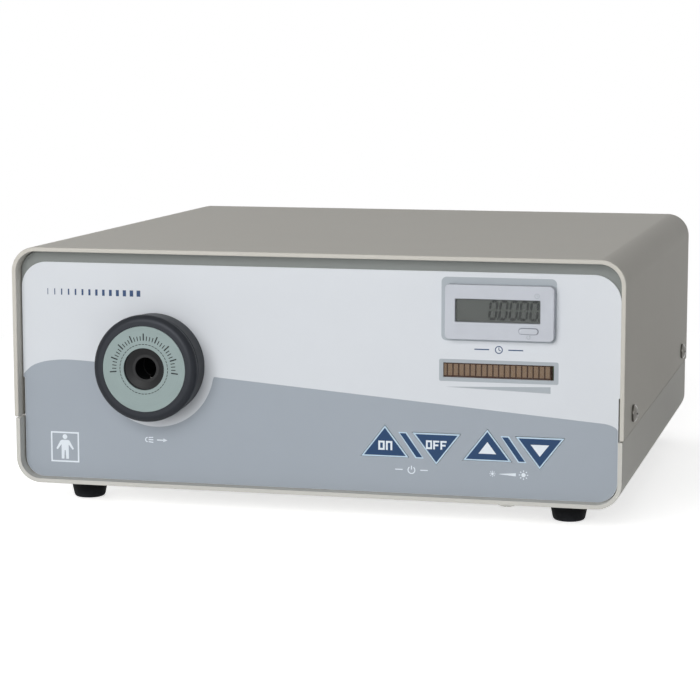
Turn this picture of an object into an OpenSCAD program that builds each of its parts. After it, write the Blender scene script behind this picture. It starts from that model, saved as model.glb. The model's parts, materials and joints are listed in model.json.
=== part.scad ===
// LED cold light source that feeds the light-guide cable of an endoscope.
// X runs to the right and Y to the back. Z is up from the surface that the feet stand on.
// Most modules are written in the shell's own measure: X from its middle, Y back from its front lip
// and Z up from its underside. in_shell() puts them in place.

/* [Shell] */
// Width of the cover
shell_w = 280; // [270:1:340]
// Height of the shell without its feet
shell_h = 108.5; // [106:0.5:140]
// Depth of the shell from lip to lip
shell_d = 266; // [260:1:330]
// Thickness of the bent sheet
sheet_t = 2; // [1.5:0.1:2.5]
// Outer radius of the long bends
bend_r = 11.4; // [8:0.2:14]
// Height of the seam between cover and chassis
seam_z = 30; // [24:0.5:36]
// Open gap of the seam
seam_gap = 0.5; // [0.3:0.1:1]
// How far the chassis walls stand inside the cover's faces
base_inset = 0.6; // [0.3:0.1:1]
// How far the overlay lies behind the lip
recess = 5.5; // [4:0.5:8]

/* [Side rails and tabs] */
// Thickness of the rails inside the chassis walls
rail_t = 1.5; // [1:0.1:2]
// Lower edge of a rail
rail_low = 14; // [12:0.5:18]
// How far a rail rises past the seam
rail_rise = 18; // [15:0.5:22]
// Height of the bend that sets a rail out to the cover
joggle_h = 3; // [2:0.5:5]
// Width of the rear tabs, from the chassis wall inwards
tab_w = 16; // [14:0.5:20]

/* [Floor vents] */
// Width of a vent slot
slot_w = 3; // [2:0.2:4]
// Length of a vent slot
slot_l = 34; // [20:1:50]
// Spacing of the slots
slot_pitch = 7; // [5.5:0.5:9]
// Slots in a field
slot_count = 9; // [5:2:11]
// Distance of a slot field from the front lip
slot_y = 185; // [170:1:200]

/* [Feet] */
// Height of a rubber foot
foot_h = 10; // [8:0.5:16]
// Top radius of a foot
foot_r = 9; // [8:0.5:12]
// Bottom radius of a foot before its edge is rounded
foot_tip_r = 7; // [6:0.5:7.5]
// Rounding of a foot's lower edge
foot_edge_r = 1.4; // [0.5:0.1:2]
// Distance of the feet from the sides
foot_side = 27; // [20:1:40]
// Distance of the feet from the front and rear lip
foot_in = 24.5; // [20:0.5:40]
// Height of the screw seat in a foot above the ground
foot_seat_h = 4.5; // [3.5:0.5:6]

/* [Cover screws] */
// Distance of the side screws from the front and rear lip
side_screw_in = 29; // [24:0.5:40]
// Height of the side screws above the seam
side_screw_up = 8.2; // [6:0.2:11]

/* [Front panel and overlay] */
// Thickness of the front and rear panel
panel_t = 2; // [1.5:0.1:2.5]
// Thickness of the laminated overlay
overlay_t = 1; // [0.8:0.1:1.3]
// How far the overlay's sides lie inside the panel's
overlay_trim = 0.35; // [0:0.05:1]
// Distance of the overlay's upper edge below the cover's top
overlay_down = 7.1; // [5.5:0.1:9]
// Radius of the overlay's upper corners
overlay_r = 12; // [6:0.5:16]
// Gap from the panel to the cover
panel_gap = 0.25; // [0.2:0.05:0.5]
// Gap from the panel to the chassis walls
panel_side_gap = 0.5; // [0.3:0.1:0.8]
// Depth of the panel's bottom flange
flange_d = 10.5; // [10:0.5:12]
// Distance of the panel's bottom flange from the sides
flange_side = 15; // [14:1:30]
// Width and height of the bend relief at the ends of the flange
relief = 1.6; // [1:0.2:2.4]
// Distance of the bolt that clamps the flange from the side
bolt_side = 53; // [40:1:70]
// Place of that bolt, from the front lip
bolt_y = 14; // [13.5:0.5:15]
// Head radius of that bolt
bolt_head_r = 5.9; // [5:0.1:7]
// Head height of that bolt
bolt_head_h = 3.5; // [2.5:0.1:4]

/* [Keys] */
// Base of a key's triangle
key_base = 19.4; // [16:0.2:20.4]
// Height of a key's triangle
key_h = 12.6; // [10:0.2:14]
// Pale border round a key
key_border = 0.55; // [0.3:0.05:0.8]
// Distance of the power keys' middle from the right side
power_keys_side = 95; // [92:0.5:98]
// Distance of the brightness keys' middle from the right side
level_keys_side = 48.9; // [46:0.1:52]
// Spacing of the keys of a pair
key_pitch = 23.3; // [22:0.1:24]
// Lower edge of a key that points up
key_low = 18.8; // [17:0.2:22]
// Upper edge of a key that points down
key_high = 29.1; // [28:0.2:32]
// Thickness of a key pad
key_t = 0.7; // [0.5:0.05:0.8]
// How far a key pad stands out of the overlay
key_proud = 0.35; // [0.25:0.05:0.5]
// Gap round a key pad
key_gap = 0.2; // [0.15:0.05:0.3]
// Radius of a key's plunger
plunger_r = 1.75; // [1.4:0.05:2]
// Travel of a key
key_travel = 0.4; // [0.3:0.05:0.5]

/* [Key switches and control board] */
// Side of a square key switch
switch_w = 6.2; // [5.5:0.1:7]
// Height of a key switch on its board
switch_h = 3.5; // [3:0.1:4]
// Distance of the control board behind the panel
board_off = 4.3; // [4.1:0.1:6]
// Thickness of the circuit boards
board_t = 1.6; // [1.2:0.1:2]
// Width of the control board
board_w = 93; // [91:0.5:97]
// Distance of the control board from the right side
board_side = 27; // [22:0.5:29]
// Lower edge of the control board
board_z0 = 10.5; // [8:0.5:12]
// Gap between the control board and the hour counter's grip
board_gap = 0.7; // [0.5:0.1:2]
// Radius of the panel's studs
stud_r = 2.5; // [2:0.1:3]
// Distance of the studs from the board's edges
stud_in = 3.6; // [3.2:0.1:4]

/* [Hour counter] */
// Distance of the counter's middle from the right side
hour_side = 55.1; // [52:0.1:60]
// Distance of the counter's middle below the cover's top
hour_down = 24.2; // [22.5:0.1:24.3]
// Width of the bezel
bezel_w = 48; // [46:0.5:50]
// Height of the bezel
bezel_h = 24; // [23:0.5:25]
// How far the bezel stands out of the overlay
bezel_t = 4.5; // [4:0.1:6]
// Corner radius of the bezel
bezel_r = 2; // [1:0.1:3]
// Width of the case behind the bezel
case_w = 44.6; // [42:0.1:45]
// Height of the case behind the bezel
case_h = 21.8; // [20:0.1:22]
// Depth of the case behind the overlay
case_d = 28; // [20:1:45]
// Width of the counter's window
lcd_w = 37.4; // [30:0.2:40]
// Height of the counter's window
lcd_h = 10.1; // [8:0.1:11]
// Shift of the window from the bezel's middle, sideways
lcd_dx = -0.7; // [-2:0.1:2]
// Shift of the window from the bezel's middle, upwards
lcd_dz = 0.7; // [-0.5:0.1:1]
// How far the window lies behind the bezel's face
lcd_set = 0.8; // [0.4:0.1:1.2]
// Thickness of the window
lcd_glass_t = 1.2; // [0.8:0.1:1.6]
// Thickness of the display behind the window
lcd_t = 1.4; // [1:0.1:1.6]
// Width of the reset button
reset_w = 8.4; // [6:0.2:9]
// Height of the reset button
reset_h = 2.6; // [2:0.1:3]
// Place of the reset button from the bezel's middle, sideways
reset_dx = 13; // [8:0.5:16]
// Place of the reset button below the bezel's middle
reset_dz = 7.7; // [7.4:0.1:8.4]
// How far the reset button stands out
reset_proud = 0.7; // [0.3:0.1:1]
// Travel of the reset button
reset_travel = 0.8; // [0.4:0.1:1]
// Wall of the frame that grips the case behind the panel
grip_t = 2.7; // [2:0.1:2.7]
// Depth of that frame
grip_d = 6; // [4:0.5:10]

/* [Bar graph] */
// Distance of the window's middle from the right side
bar_side = 56; // [54:0.1:58]
// Distance of the window's middle below the counter's
bar_down = 26.2; // [25:0.1:28]
// Width of the window
bar_w = 49.1; // [44:0.1:50]
// Height of the window
bar_h = 6.6; // [6:0.1:8]
// Thickness of the window
bar_pane_t = 0.6; // [0.4:0.05:0.7]
// Spacing of the segments
segment_pitch = 2.54; // [2.3:0.02:2.56]
// Segments in the bar
segment_count = 20; // [16:1:20]
// Width of a segment
segment_w = 1.95; // [1.5:0.05:2.05]
// Height of a segment
segment_h = 5.08; // [4:0.1:5.6]
// Depth of a segment in its housing
segment_t = 1; // [0.6:0.1:1.5]
// Height of the housing
array_h = 10.16; // [9:0.1:10.6]
// Shift of the housing from the window's middle
array_dx = -2.6; // [-3:0.1:0]
// Gap between the window and the housing
array_gap = 0.3; // [0.1:0.05:0.5]

/* [Light socket] */
// Distance of the socket from the left side
socket_side = 66.5; // [60:0.5:74]
// How far the socket lies above the shell's middle
socket_up = 1.65; // [-2:0.05:4]
// Radius of the collar's front lip
collar_r = 24.2; // [23.5:0.1:27]
// Radius of the collar behind its groove
collar_back_r = 23.4; // [22.5:0.1:24]
// How far the collar stands out of the overlay
collar_h = 16; // [14:0.5:20]
// Rounding of the collar's front rim
collar_rim = 3; // [1.5:0.1:4]
// Radius of the groove's section
groove_r = 1.6; // [0.8:0.1:2]
// Distance of the groove behind the collar's front
groove_in = 5.2; // [4.5:0.1:7]
// Radius of the collar's spigot in the panel
spigot_r = 13; // [11.5:0.5:14]
// Radius of the ring plate
plate_r = 19.3; // [17:0.1:20]
// Thickness of the ring plate
plate_t = 0.9; // [0.5:0.1:1.5]
// Radius of the sleeve's front part
sleeve_r = 9.4; // [9:0.1:10]
// Radius of the sleeve's rear part
sleeve_rear_r = 8.5; // [7.5:0.1:8.7]
// How far the sleeve's front lies behind the ring plate
sleeve_set = 0.6; // [0.2:0.1:1]
// How far the sleeve reaches behind the overlay
sleeve_back = 25; // [22:0.5:26]
// Bore of the socket, radius
bore_r = 5; // [4:0.1:5.5]
// Bore of the socket, depth behind the overlay
bore_back = 16; // [12:0.5:18]
// Aperture at the end of the bore, radius
aperture_r = 4; // [3:0.1:4.5]
// Depth of the dished mouth
dish_d = 1.3; // [0.8:0.1:2]
// Length of the bore's front land, between the dish and the ball
land_l = 5; // [4:0.1:5]
// How much wider the bore is round the ball
ball_relief = 0.2; // [0.1:0.05:0.3]
// Outer radius of the dished mouth
dish_r = 8.9; // [8:0.1:9]
// Inner radius of the dished mouth
dish_floor_r = 6.2; // [6:0.1:7]
// Outer radius of the ring nut behind the collar
nut_r = 14.5; // [14:0.1:15]
// Thickness of the ring nut
nut_t = 5; // [3:0.5:6]
// Radius of the circle of the collar's screws
collar_screw_pcd_r = 18.3; // [17.8:0.1:20]

/* [Detent] */
// Radius of the detent ball
ball_r = 2; // [1.5:0.1:2.2]
// How far the ball stands into the bore
ball_proud = 0.8; // [0.4:0.05:1]
// Travel of the ball
ball_travel = 0.8; // [0.4:0.05:1]
// Distance of the ball behind the dish
ball_in = 8.5; // [7:0.1:9.5]
// Room between the ball's hole and the ball
ball_gap = 0.05; // [0.03:0.01:0.1]
// Distance of the set screw from the bore's axis
set_screw_in = 14; // [13.5:0.1:15]
// Length of the set screw
set_screw_l = 6; // [4:0.5:7]
// Radius of the set screw
set_screw_r = 2.45; // [2.3:0.05:3]
// Radius of the spring's coil at its wire
coil_r = 1.4; // [1:0.05:1.5]
// Radius of the spring's wire
coil_wire_r = 0.22; // [0.15:0.01:0.3]
// Turns of the spring
coil_turns = 6; // [4:1:7]

/* [Optics] */
// Inner radius of the lens tube
tube_r = 13; // [12:0.1:13.5]
// Wall of the lens tube
tube_wall = 2.5; // [1.5:0.1:3]
// Front end of the lens tube from the front lip
tube_y0 = 20; // [18:0.5:22]
// Place of the optics plate from the front lip
optics_y = 74; // [73:0.5:90]
// Thickness of the optics plate
optics_t = 2; // [1.6:0.1:2.5]
// Thickness of the wall that the front lens seats on
tube_seat = 3.5; // [2:0.5:5]
// Radius of the tube's rear flange
tube_flange_r = 22; // [20.5:0.5:24]
// Thickness of the tube's rear flange
tube_flange_t = 3; // [2:0.5:4]
// Thickness of a lens at its edge
lens_edge = 3; // [2:0.2:4]
// Height of a lens's dome
lens_dome = 3.5; // [2:0.1:5]
// Radius of a lens's dome at its foot
lens_clear_r = 11; // [9:0.1:11.2]
// Distance between the two lenses
lens_space = 20; // [12:0.5:22]
// Radius of the opening in the spacer
spacer_r = 11.6; // [11.3:0.1:12]
// Length of the threaded ring
ring_t = 4; // [2:0.5:5]
// Side of the emitter
emitter_w = 9; // [6:0.5:11]
// Thickness of the emitter's base
emitter_t = 1; // [0.6:0.1:1.5]
// Radius of the emitter's dome
emitter_r = 3; // [2:0.1:3.5]
// Side of the heat sink
sink_w = 70; // [60:1:76]
// Thickness of the heat sink's base
sink_base = 8; // [6:0.5:12]
// Length of the fins
fin_l = 50; // [40:1:70]
// Thickness of a fin
fin_t = 1.6; // [1.2:0.1:2.2]
// Fins on the heat sink
fin_count = 13; // [9:1:14]
// Half spacing of the heat sink's screws
sink_screw = 29; // [25:0.5:31]
// Depth of the optics plate's foot
optics_foot = 26; // [20:1:40]

/* [Boards on the floor] */
// Height of the posts
post_h = 8; // [6:0.5:12]
// Distance of a post from the board's edges
post_in = 5; // [4:0.5:7]
// Distance of both boards' left edges from the right side
floor_board_side = 114; // [110:1:118]
// Width of both boards
floor_board_w = 90; // [84:1:92]
// Front edge of the driver board
driver_y = 42; // [38:1:46]
// Distance of the power board from the rear lip
power_back = 46; // [44:1:50]
// Gap between the two boards
boards_gap = 16; // [10:1:20]
// The driver board's share of the depth that both boards take
driver_share = 0.4; // [0.35:0.05:0.45]
// Width of the transformer's core
core_w = 35; // [28:1:36]
// Depth of the transformer's core
core_d = 30; // [24:1:32]
// Height of the transformer's core
core_h = 29; // [22:1:34]
// Radius of the large capacitor
cap_r = 9; // [7:0.5:10]
// Height of the large capacitor
cap_h = 30; // [20:1:34]
// Radius of the wires
wire_r = 0.9; // [0.6:0.05:1]

/* [Fan] */
// Side of the fan's frame
fan_w = 80; // [76:1:80]
// Depth of the fan's frame
fan_d = 25; // [20:1:32]
// Thinnest wall of the fan's frame, beside its opening
fan_wall = 2; // [2:0.5:4]
// Distance of the fan's screws from the frame's sides
fan_screw_in = 4.25; // [4:0.25:5]
// Radius of the rotor's hub
hub_r = 16; // [13:0.5:18]
// Thickness of the motor plate and its spokes
spoke_t = 3; // [2:0.5:4]
// Width of a spoke
spoke_w = 4; // [3:0.5:6]
// Spokes that carry the motor plate
spoke_count = 4; // [3:1:5]
// Length of the rotor
rotor_l = 20; // [15:0.5:20.5]
// Radius of the rotor's shaft
shaft_r = 1.5; // [1:0.1:2]
// Gap between the blades and the frame
tip_gap = 0.8; // [0.6:0.1:1.2]
// Gap between the rotor and the motor plate
rotor_gap = 0.6; // [0.4:0.1:1]
// Blades of the rotor
blade_count = 7; // [5:1:9]
// Thickness of a blade
blade_t = 1.5; // [1.2:0.1:2]
// Radius of a blade's camber
blade_camber_r = 24; // [20:1:40]
// Length of a blade's section
blade_chord = 20; // [17:0.5:21]
// Angle of a blade to the fan's plane
blade_pitch = 42; // [36:1:48]
// Angle that a blade leans back from the spoke direction
blade_lean = 14; // [0:1:20]

/* [Fan guard] */
// Radius of the guard's wire
guard_wire_r = 0.9; // [0.7:0.05:1.1]
// Radius of the smallest ring
guard_ring_r = 11; // [9:0.5:12]
// Spacing of the rings
guard_pitch = 8; // [7:0.25:8]
// Rings in the guard
guard_rings = 4; // [3:1:4]
// How far the rings stand off the panel
guard_up = 4; // [3:0.1:4.4]
// Radius of the guard's eyelets
eyelet_r = 4.4; // [4:0.1:5]
// Thickness of the guard's eyelets
eyelet_t = 1.6; // [1:0.1:2]

/* [Mains inlet] */
// Distance of the inlet's middle from the side
inlet_side = 55; // [54:0.5:58]
// Height of the inlet
inlet_z = 38; // [34:0.5:60]
// Thickness of the flange
inlet_t = 3; // [2:0.1:4]
// How far the flange reaches past the body behind it
inlet_edge = 3; // [2:0.1:3.2]
// Depth of the body behind the panel's face
body_d = 24; // [22:0.5:26]
// Width of the connector's cavity
cavity_w = 24.6; // [24.2:0.1:25]
// Height of the connector's cavity
cavity_h = 16.4; // [16:0.1:16.8]
// Chamfer of the cavity's upper corners
cavity_cut = 4.5; // [3:0.5:5]
// Depth of the cavity
cavity_d = 18; // [16:0.5:19]
// Wall beside the cavity
cavity_wall = 3.1; // [2:0.1:4]
// Wall above the cavity
cavity_roof = 1.8; // [1.5:0.1:3]
// Spacing of the live and neutral pin
pin_pitch = 14; // [13:0.5:14]
// Shift of the earth pin above the other two
pin_rise = 4; // [3.5:0.5:4]
// Width of a pin
pin_w = 2; // [1.8:0.1:2.2]
// Height of a pin
pin_h = 4; // [3.6:0.1:4.2]
// Distance of the pins' tips behind the flange's face
pin_set = 2; // [1:0.5:3]
// Length of the pins' tails behind the body
pin_tail = 6; // [4:0.5:6]

/* [Fuse drawer] */
// Width of the drawer
drawer_w = 24; // [23.5:0.1:24.4]
// Height of the drawer
drawer_h = 7.4; // [7.2:0.1:7.5]
// Length of the drawer
drawer_l = 20; // [18:0.5:20.5]
// Wall under the drawer
drawer_wall = 0.9; // [0.8:0.1:2]
// Wall between the drawer and the cavity
drawer_gap = 1.5; // [1:0.1:2]
// How far the drawer's lip stands out
drawer_lip = 1.5; // [1:0.1:2.5]
// Travel of the drawer
drawer_travel = 17; // [10:0.5:17]
// Length of a fuse
fuse_l = 20; // [18:0.5:20]
// Radius of a fuse's cap
fuse_r = 2.6; // [2.4:0.05:2.6]
// Length of a fuse's cap
fuse_cap = 5; // [4:0.5:6]

/* [Mains rocker] */
// Wall beside the rocker
rocker_wall = 2.9; // [2.6:0.1:4]
// Wall between the rocker and the cavity
rocker_gap = 8.8; // [4:0.1:10]
// Width of the rocker
rocker_w = 12.6; // [11:0.1:12.8]
// Radius of the rocker's ends round its pivot
rocker_r = 9.4; // [8.5:0.1:9.6]
// Height of the rocker's ends above its pivot
rocker_up = 4.8; // [4.2:0.1:5.4]
// Depth of the dip in the rocker's face
rocker_dip = 1.5; // [0.8:0.1:2]
// Depth of the rocker's pivot behind the flange's face
rocker_set = 3; // [2.6:0.1:3.2]
// Radius of the rocker's pivots
pivot_r = 1.3; // [1:0.1:1.5]
// Length of a pivot
pivot_l = 1.4; // [1:0.1:1.5]
// Angle that the rocker throws
rocker_throw = 22; // [14:1:24]

/* [Potential equalisation pin] */
// Distance of the pin from the same side as the inlet
earth_side = 110; // [106:0.5:115]
// Height of the pin
earth_z = 38; // [30:0.5:60]
// Radius of the pin
earth_r = 3; // [2.5:0.1:3.5]
// How far the pin stands out of the rear panel
earth_reach = 16; // [12:0.5:20]
// Width across the flats of the pin's collar
earth_flats = 12; // [9:0.5:14]
// Thickness of the pin's collar
earth_collar_t = 4; // [3:0.5:5]
// Thickness of a nut
hex_t = 4; // [3:0.5:5]

/* [Fasteners and fits] */
// Shank radius of the large screws
screw_r = 2; // [1.6:0.1:2.2]
// Head radius of the large screws
screw_head_r = 3.9; // [3.5:0.1:4.2]
// Head height of the large screws
screw_head_h = 2.6; // [2:0.1:3]
// Shank radius of the small screws
small_r = 1.25; // [1:0.05:1.35]
// Head radius of the small screws
small_head_r = 2.6; // [2.2:0.1:2.8]
// Head height of the small screws
small_head_h = 1.8; // [1.4:0.1:2]
// Width of a screw's cross slot
cross_w = 0.8; // [0.5:0.1:1]
// Clearance of pieces that are fitted together, on each side
fit = 0.1; // [0.05:0.01:0.12]
// Clearance of pieces that slide or turn in each other, on each side
run = 0.05; // [0.03:0.01:0.08]

/* [Hidden] */
// Overrun of every cut
cut = 1;
// How much wider than its wire the ball in a bend is
knob = 1.15;
$fn = 48;

// Half width inside the cover, and the outer and inner face of a chassis wall
side = shell_w / 2;
cover_in = side - sheet_t;
base_x = side - base_inset;
base_in = base_x - sheet_t;
seam_top = seam_z + seam_gap / 2;
seam_bottom = seam_z - seam_gap / 2;
rail_top = seam_z + rail_rise;

// Places across the shell, each from the side that it is nearest to
foot_x = side - foot_side;
flange_x = side - flange_side;
bolt_x = side - bolt_side;
power_keys_x = side - power_keys_side;
level_keys_x = side - level_keys_side;
hour_x = side - hour_side;
bar_x = side - bar_side;
board_x1 = side - board_side;
board_x0 = board_x1 - board_w;
socket_x = socket_side - side;
floor_board_x = side - floor_board_side;
inlet_x = side - inlet_side;
earth_x = side - earth_side;

// Heights on the front, from the cover's top downwards
overlay_top = shell_h - overlay_down;
hour_z = shell_h - hour_down;
bar_z = hour_z - bar_down;
board_z1 = hour_z - case_h / 2 - grip_t - board_gap;
socket_z = shell_h / 2 + socket_up;

// Planes of the front and rear panel, from the front lip backwards
overlay_y = recess;
panel_y = overlay_y + overlay_t;
panel_back = panel_y + panel_t;
board_y = panel_back + board_off;
rear_out = shell_d - recess;
rear_in = rear_out - panel_t;

// Where the shell stands, so that the whole object is centred front to back
nose = collar_h - recess;
tail = earth_reach - recess;
lip_y = -shell_d / 2 + (nose - tail) / 2;

// Distance from a key's middle to its edges
key_side = sqrt(key_h * key_h + key_base * key_base / 4);
key_in_r = key_base * key_h / (key_base + 2 * key_side);
key_back = key_t - key_proud;

// Studs of the front panel, and the posts of the boards on the floor
stud_xs = [board_x0 + stud_in, board_x1 - stud_in];
stud_zs = [board_z0 + stud_in, board_z1 - stud_in];
small_hole_r = small_r + run;
screw_hole_r = screw_r + run;
board_top = sheet_t + post_h + board_t;
boards_d = shell_d - driver_y - boards_gap - power_back;
driver_d = boards_d * driver_share;
power_d = boards_d - driver_d;
power_y = driver_y + driver_d + boards_gap;

// Planes inside the light socket, measured outwards from the overlay's face
groove_z = collar_h - groove_in;
sleeve_face = collar_h - plate_t - sleeve_set;
dish_floor = sleeve_face - dish_d;
shoulder = 1.2;
ball_z = dish_floor - ball_in;
ball_y = bore_r - ball_proud + ball_r;
lip_hole_r = ball_r - 3 * ball_gap;
lip_y_out = ball_y - sqrt(ball_r * ball_r - lip_hole_r * lip_hole_r) - ball_gap;
ball_hole_r = ball_r + ball_gap;

// Planes of the optics, from the front lip backwards
sleeve_end = overlay_y + sleeve_back;
lens_y = sleeve_end + tube_seat;
lens_y2 = lens_y + lens_edge + lens_space;
ring_y = lens_y2 + lens_edge;
sink_y = optics_y + optics_t;

// The bar graph's housing
array_w = segment_count * segment_pitch;
array_face = overlay_t + array_gap;
array_x = bar_x + array_dx;
array_cut_w = max(bar_x + bar_w / 2 - array_x, array_w / 2) + array_w / 2 + 2 * fit;

// The fan stands in line with the socket and its heat sink
fan_x = socket_x;
fan_z = socket_z;
fan_r = fan_w / 2 - fan_wall;
fan_screw = fan_w / 2 - fan_screw_in;
rotor_front = spoke_t + rotor_gap;

// The inlet's body holds the cavity over the drawer, and the rocker beside them
body_w = rocker_wall + rocker_w + rocker_gap + cavity_w + cavity_wall;
body_h = drawer_wall + drawer_h + drawer_gap + cavity_h + cavity_roof;
inlet_w = body_w + 2 * inlet_edge;
inlet_h = body_h + 2 * inlet_edge;
cavity_dx = (body_w - cavity_w) / 2 - cavity_wall;
cavity_dz = (body_h - cavity_h) / 2 - cavity_roof;
drawer_dz = (body_h - drawer_h) / 2 - drawer_wall;
rocker_dx = (body_w - rocker_w) / 2 - rocker_wall;

// Terminal blocks and chokes of the boards
terminal_pitch = 7;
terminal_d = 9;
terminal_h = 11;
choke_r = 8;
choke_wire = 4;

// The ribbon, the headers at its ends, and how far its knees lie from them
ribbon_w = 14;
ribbon_t = 1;
header_l = 20;
header_d = 8;
ribbon_run = 12;
ribbon_x = board_x0 + 2 * header_l;
ribbon_z = board_z0 + (board_z1 - board_z0) * 0.56;
driver_header_y = driver_y + 2 * header_d;

// Where the transformer stands on the power board
core_x = floor_board_x + floor_board_w * 0.62;
core_y = power_y + power_d * 0.48;

// Leads: half spacing of a pair, height above the floor, and distance of their knees
lead_gap = 2.6;
lead_z = 9;
lead_run = 13;

// Where the two fuses lie in the drawer, as shares of its length from its inner end
fuse_shares = [0.27, 0.66];
fuse_y = drawer_h / 2 - fuse_r - fit;

cover_grey = [0.80, 0.79, 0.76];
bezel_grey = [0.80, 0.82, 0.85];
board_green = [0.05, 0.30, 0.16];
key_blue = [0.16, 0.31, 0.47];
brass = [0.80, 0.70, 0.42];
steel = [0.6, 0.6, 0.6];
bare = [0.75, 0.76, 0.78];
black = [0.10, 0.10, 0.11];
glass = [0.82, 0.90, 0.92, 0.5];

// Moves a shape from the shell's measure to its place
module in_shell() {
  translate([0, lip_y, foot_h]) children();
}

module rise(z) {
  translate([0, 0, z]) children();
}

// A plane that faces the user: X to the right, Y up and Z out of the front
module facing(x, z, y) {
  translate([x, y, z]) rotate([90, 0, 0]) children();
}

// A plane that faces backwards, as seen from behind the shell
module facing_back(x, z, y) {
  translate([x, y, z]) rotate([90, 0, 180]) children();
}

// The light socket's axis at depth y, the counter's middle, and the inlet's middle
module at_socket(y) {
  in_shell() facing(socket_x, socket_z, y) children();
}

module at_counter() {
  in_shell() facing(hour_x, hour_z, overlay_y) children();
}

module at_inlet() {
  in_shell() facing_back(inlet_x, inlet_z, rear_out) children();
}

// A profile in X and Z, carried from y0 back to y1
module along_y(y0, y1) {
  translate([0, y1, 0]) rotate([90, 0, 0]) linear_extrude(y1 - y0) children();
}

// A rectangle with round corners, centred
module round_rect(w, h, r) {
  square([w - 2 * r, h], center = true);
  square([w, h - 2 * r], center = true);
  for (x = [-1, 1], y = [-1, 1])
    translate([x * (w / 2 - r), y * (h / 2 - r)]) circle(r);
}

// The same, from height z0 to z1
module round_span(w, z0, z1, r) {
  translate([0, (z0 + z1) / 2]) round_rect(w, z1 - z0, r);
}

// A pill-shaped outline
module pill(w, h) {
  square([w - h, h], center = true);
  for (x = [-1, 1]) translate([x * (w - h) / 2, 0]) circle(h / 2);
}

// A centred plate
module slab(w, h, t) {
  linear_extrude(t) square([w, h], center = true);
}

// A cut right through height h
module bore(r, h) {
  rise(-cut) cylinder(r = r, h = h + 2 * cut);
}

// A tube
module ring(r_out, r_in, h) {
  difference() {
    cylinder(r = r_out, h = h);
    bore(r_in, h);
  }
}

// A hexagon across its flats
module hex(flats, h) {
  cylinder(d = flats / cos(30), h = h, $fn = 6);
}

// A screw with a domed head above its seat and a plain shank below
module screw(r, head_r, head_h, l, cross = true) {
  side = head_h * 0.4;
  dome = head_h - side;
  ball = (head_r * head_r + dome * dome) / (2 * dome);
  difference() {
    intersection() {
      cylinder(r = head_r, h = head_h);
      rise(head_h - ball) sphere(ball);
    }
    if (cross)
      for (a = [0, 90])
        rotate(a) rise(head_h) cube([head_r * 1.1, cross_w, head_h], center = true);
  }
  rise(-l) cylinder(r = r, h = l);
}

module large_screw(l) {
  screw(screw_r, screw_head_r, screw_head_h, l);
}

module small_screw(l) {
  screw(small_r, small_head_r, small_head_h, l, cross = false);
}

// A straight rod from p to q
module rod(p, q, r) {
  d = q - p;
  l = norm(d);
  translate(p) rotate([0, acos(d.z / l), atan2(d.y, d.x)]) cylinder(r = r, h = l);
}

// A wire through a list of points, with a ball in each bend
module wire(points) {
  $fn = 16;
  for (i = [1:len(points) - 1]) rod(points[i - 1], points[i], wire_r);
  for (i = [1:len(points) - 2]) translate(points[i]) sphere(knob * wire_r);
}

// Outline of the inside of the shell, for the front and rear panels
module panel_outline(trim, bottom_gap) {
  wide = cover_in - panel_gap;
  narrow = base_in - panel_side_gap - trim;
  inner_r = bend_r - sheet_t;
  difference() {
    round_span(2 * wide, sheet_t, shell_h - sheet_t - panel_gap, inner_r);
    translate([-shell_w / 2, -cut]) square([shell_w, rail_top + cut]);
  }
  intersection() {
    round_span(2 * narrow, sheet_t + bottom_gap, shell_h - sheet_t - panel_gap, inner_r);
    translate([-shell_w / 2, -cut]) square([shell_w, rail_top + 2 * cut]);
  }
}

// Places one copy on each side of the shell, the copy at the left mirrored
module both_sides() {
  children();
  mirror([1, 0, 0]) children();
}

module top_cover() {
  color(cover_grey) in_shell() difference() {
    along_y(0, shell_d) difference() {
      round_span(shell_w, 0, shell_h, bend_r);
      round_span(shell_w - 2 * sheet_t, sheet_t, shell_h - sheet_t, bend_r - sheet_t);
      translate([-shell_w / 2 - cut, -cut]) square([shell_w + 2 * cut, seam_top + cut]);
    }
    side_screw_places() rotate([0, 90, 0])
      rise(-sheet_t - cut) cylinder(r = screw_r + fit, h = sheet_t + 2 * cut);
  }
}

// The four side screws, each on the cover's outer face
module side_screw_places() {
  both_sides()
    for (y = [side_screw_in, shell_d - side_screw_in])
      translate([shell_w / 2, y, seam_z + side_screw_up]) children();
}

module cover_screws() {
  color(steel) in_shell()
    side_screw_places() rotate([0, 90, 0]) large_screw(sheet_t + rail_t + fit);
}

// Rail inside a chassis wall: flat on the wall below the seam, set out to the cover above it
module rail_profile() {
  low_bend = seam_bottom - joggle_h;
  high_bend = seam_top;
  polygon([
    [base_in, rail_low], [base_in, low_bend], [cover_in, high_bend], [cover_in, rail_top],
    [cover_in - rail_t, rail_top], [cover_in - rail_t, high_bend],
    [base_in - rail_t, low_bend], [base_in - rail_t, rail_low]
  ]);
}

module vent_field(x, y) {
  for (i = [0:slot_count - 1])
    translate([x + (i - (slot_count - 1) / 2) * slot_pitch, y, -cut])
      linear_extrude(sheet_t + 2 * cut) rotate(90) pill(slot_l, slot_w);
}

// Places of the feet on the underside
module foot_places() {
  for (x = [-foot_x, foot_x], y = [foot_in, shell_d - foot_in])
    translate([x, y, 0]) children();
}

// Places of the screws of the rear panel, on its outer face
module rear_screw_places() {
  screw_in = base_in - tab_w / 2 - rail_t;
  for (x = [-screw_in, screw_in], z = [rail_low, rail_top - screw_head_r])
    facing_back(x, z, rear_out) children();
}

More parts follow.
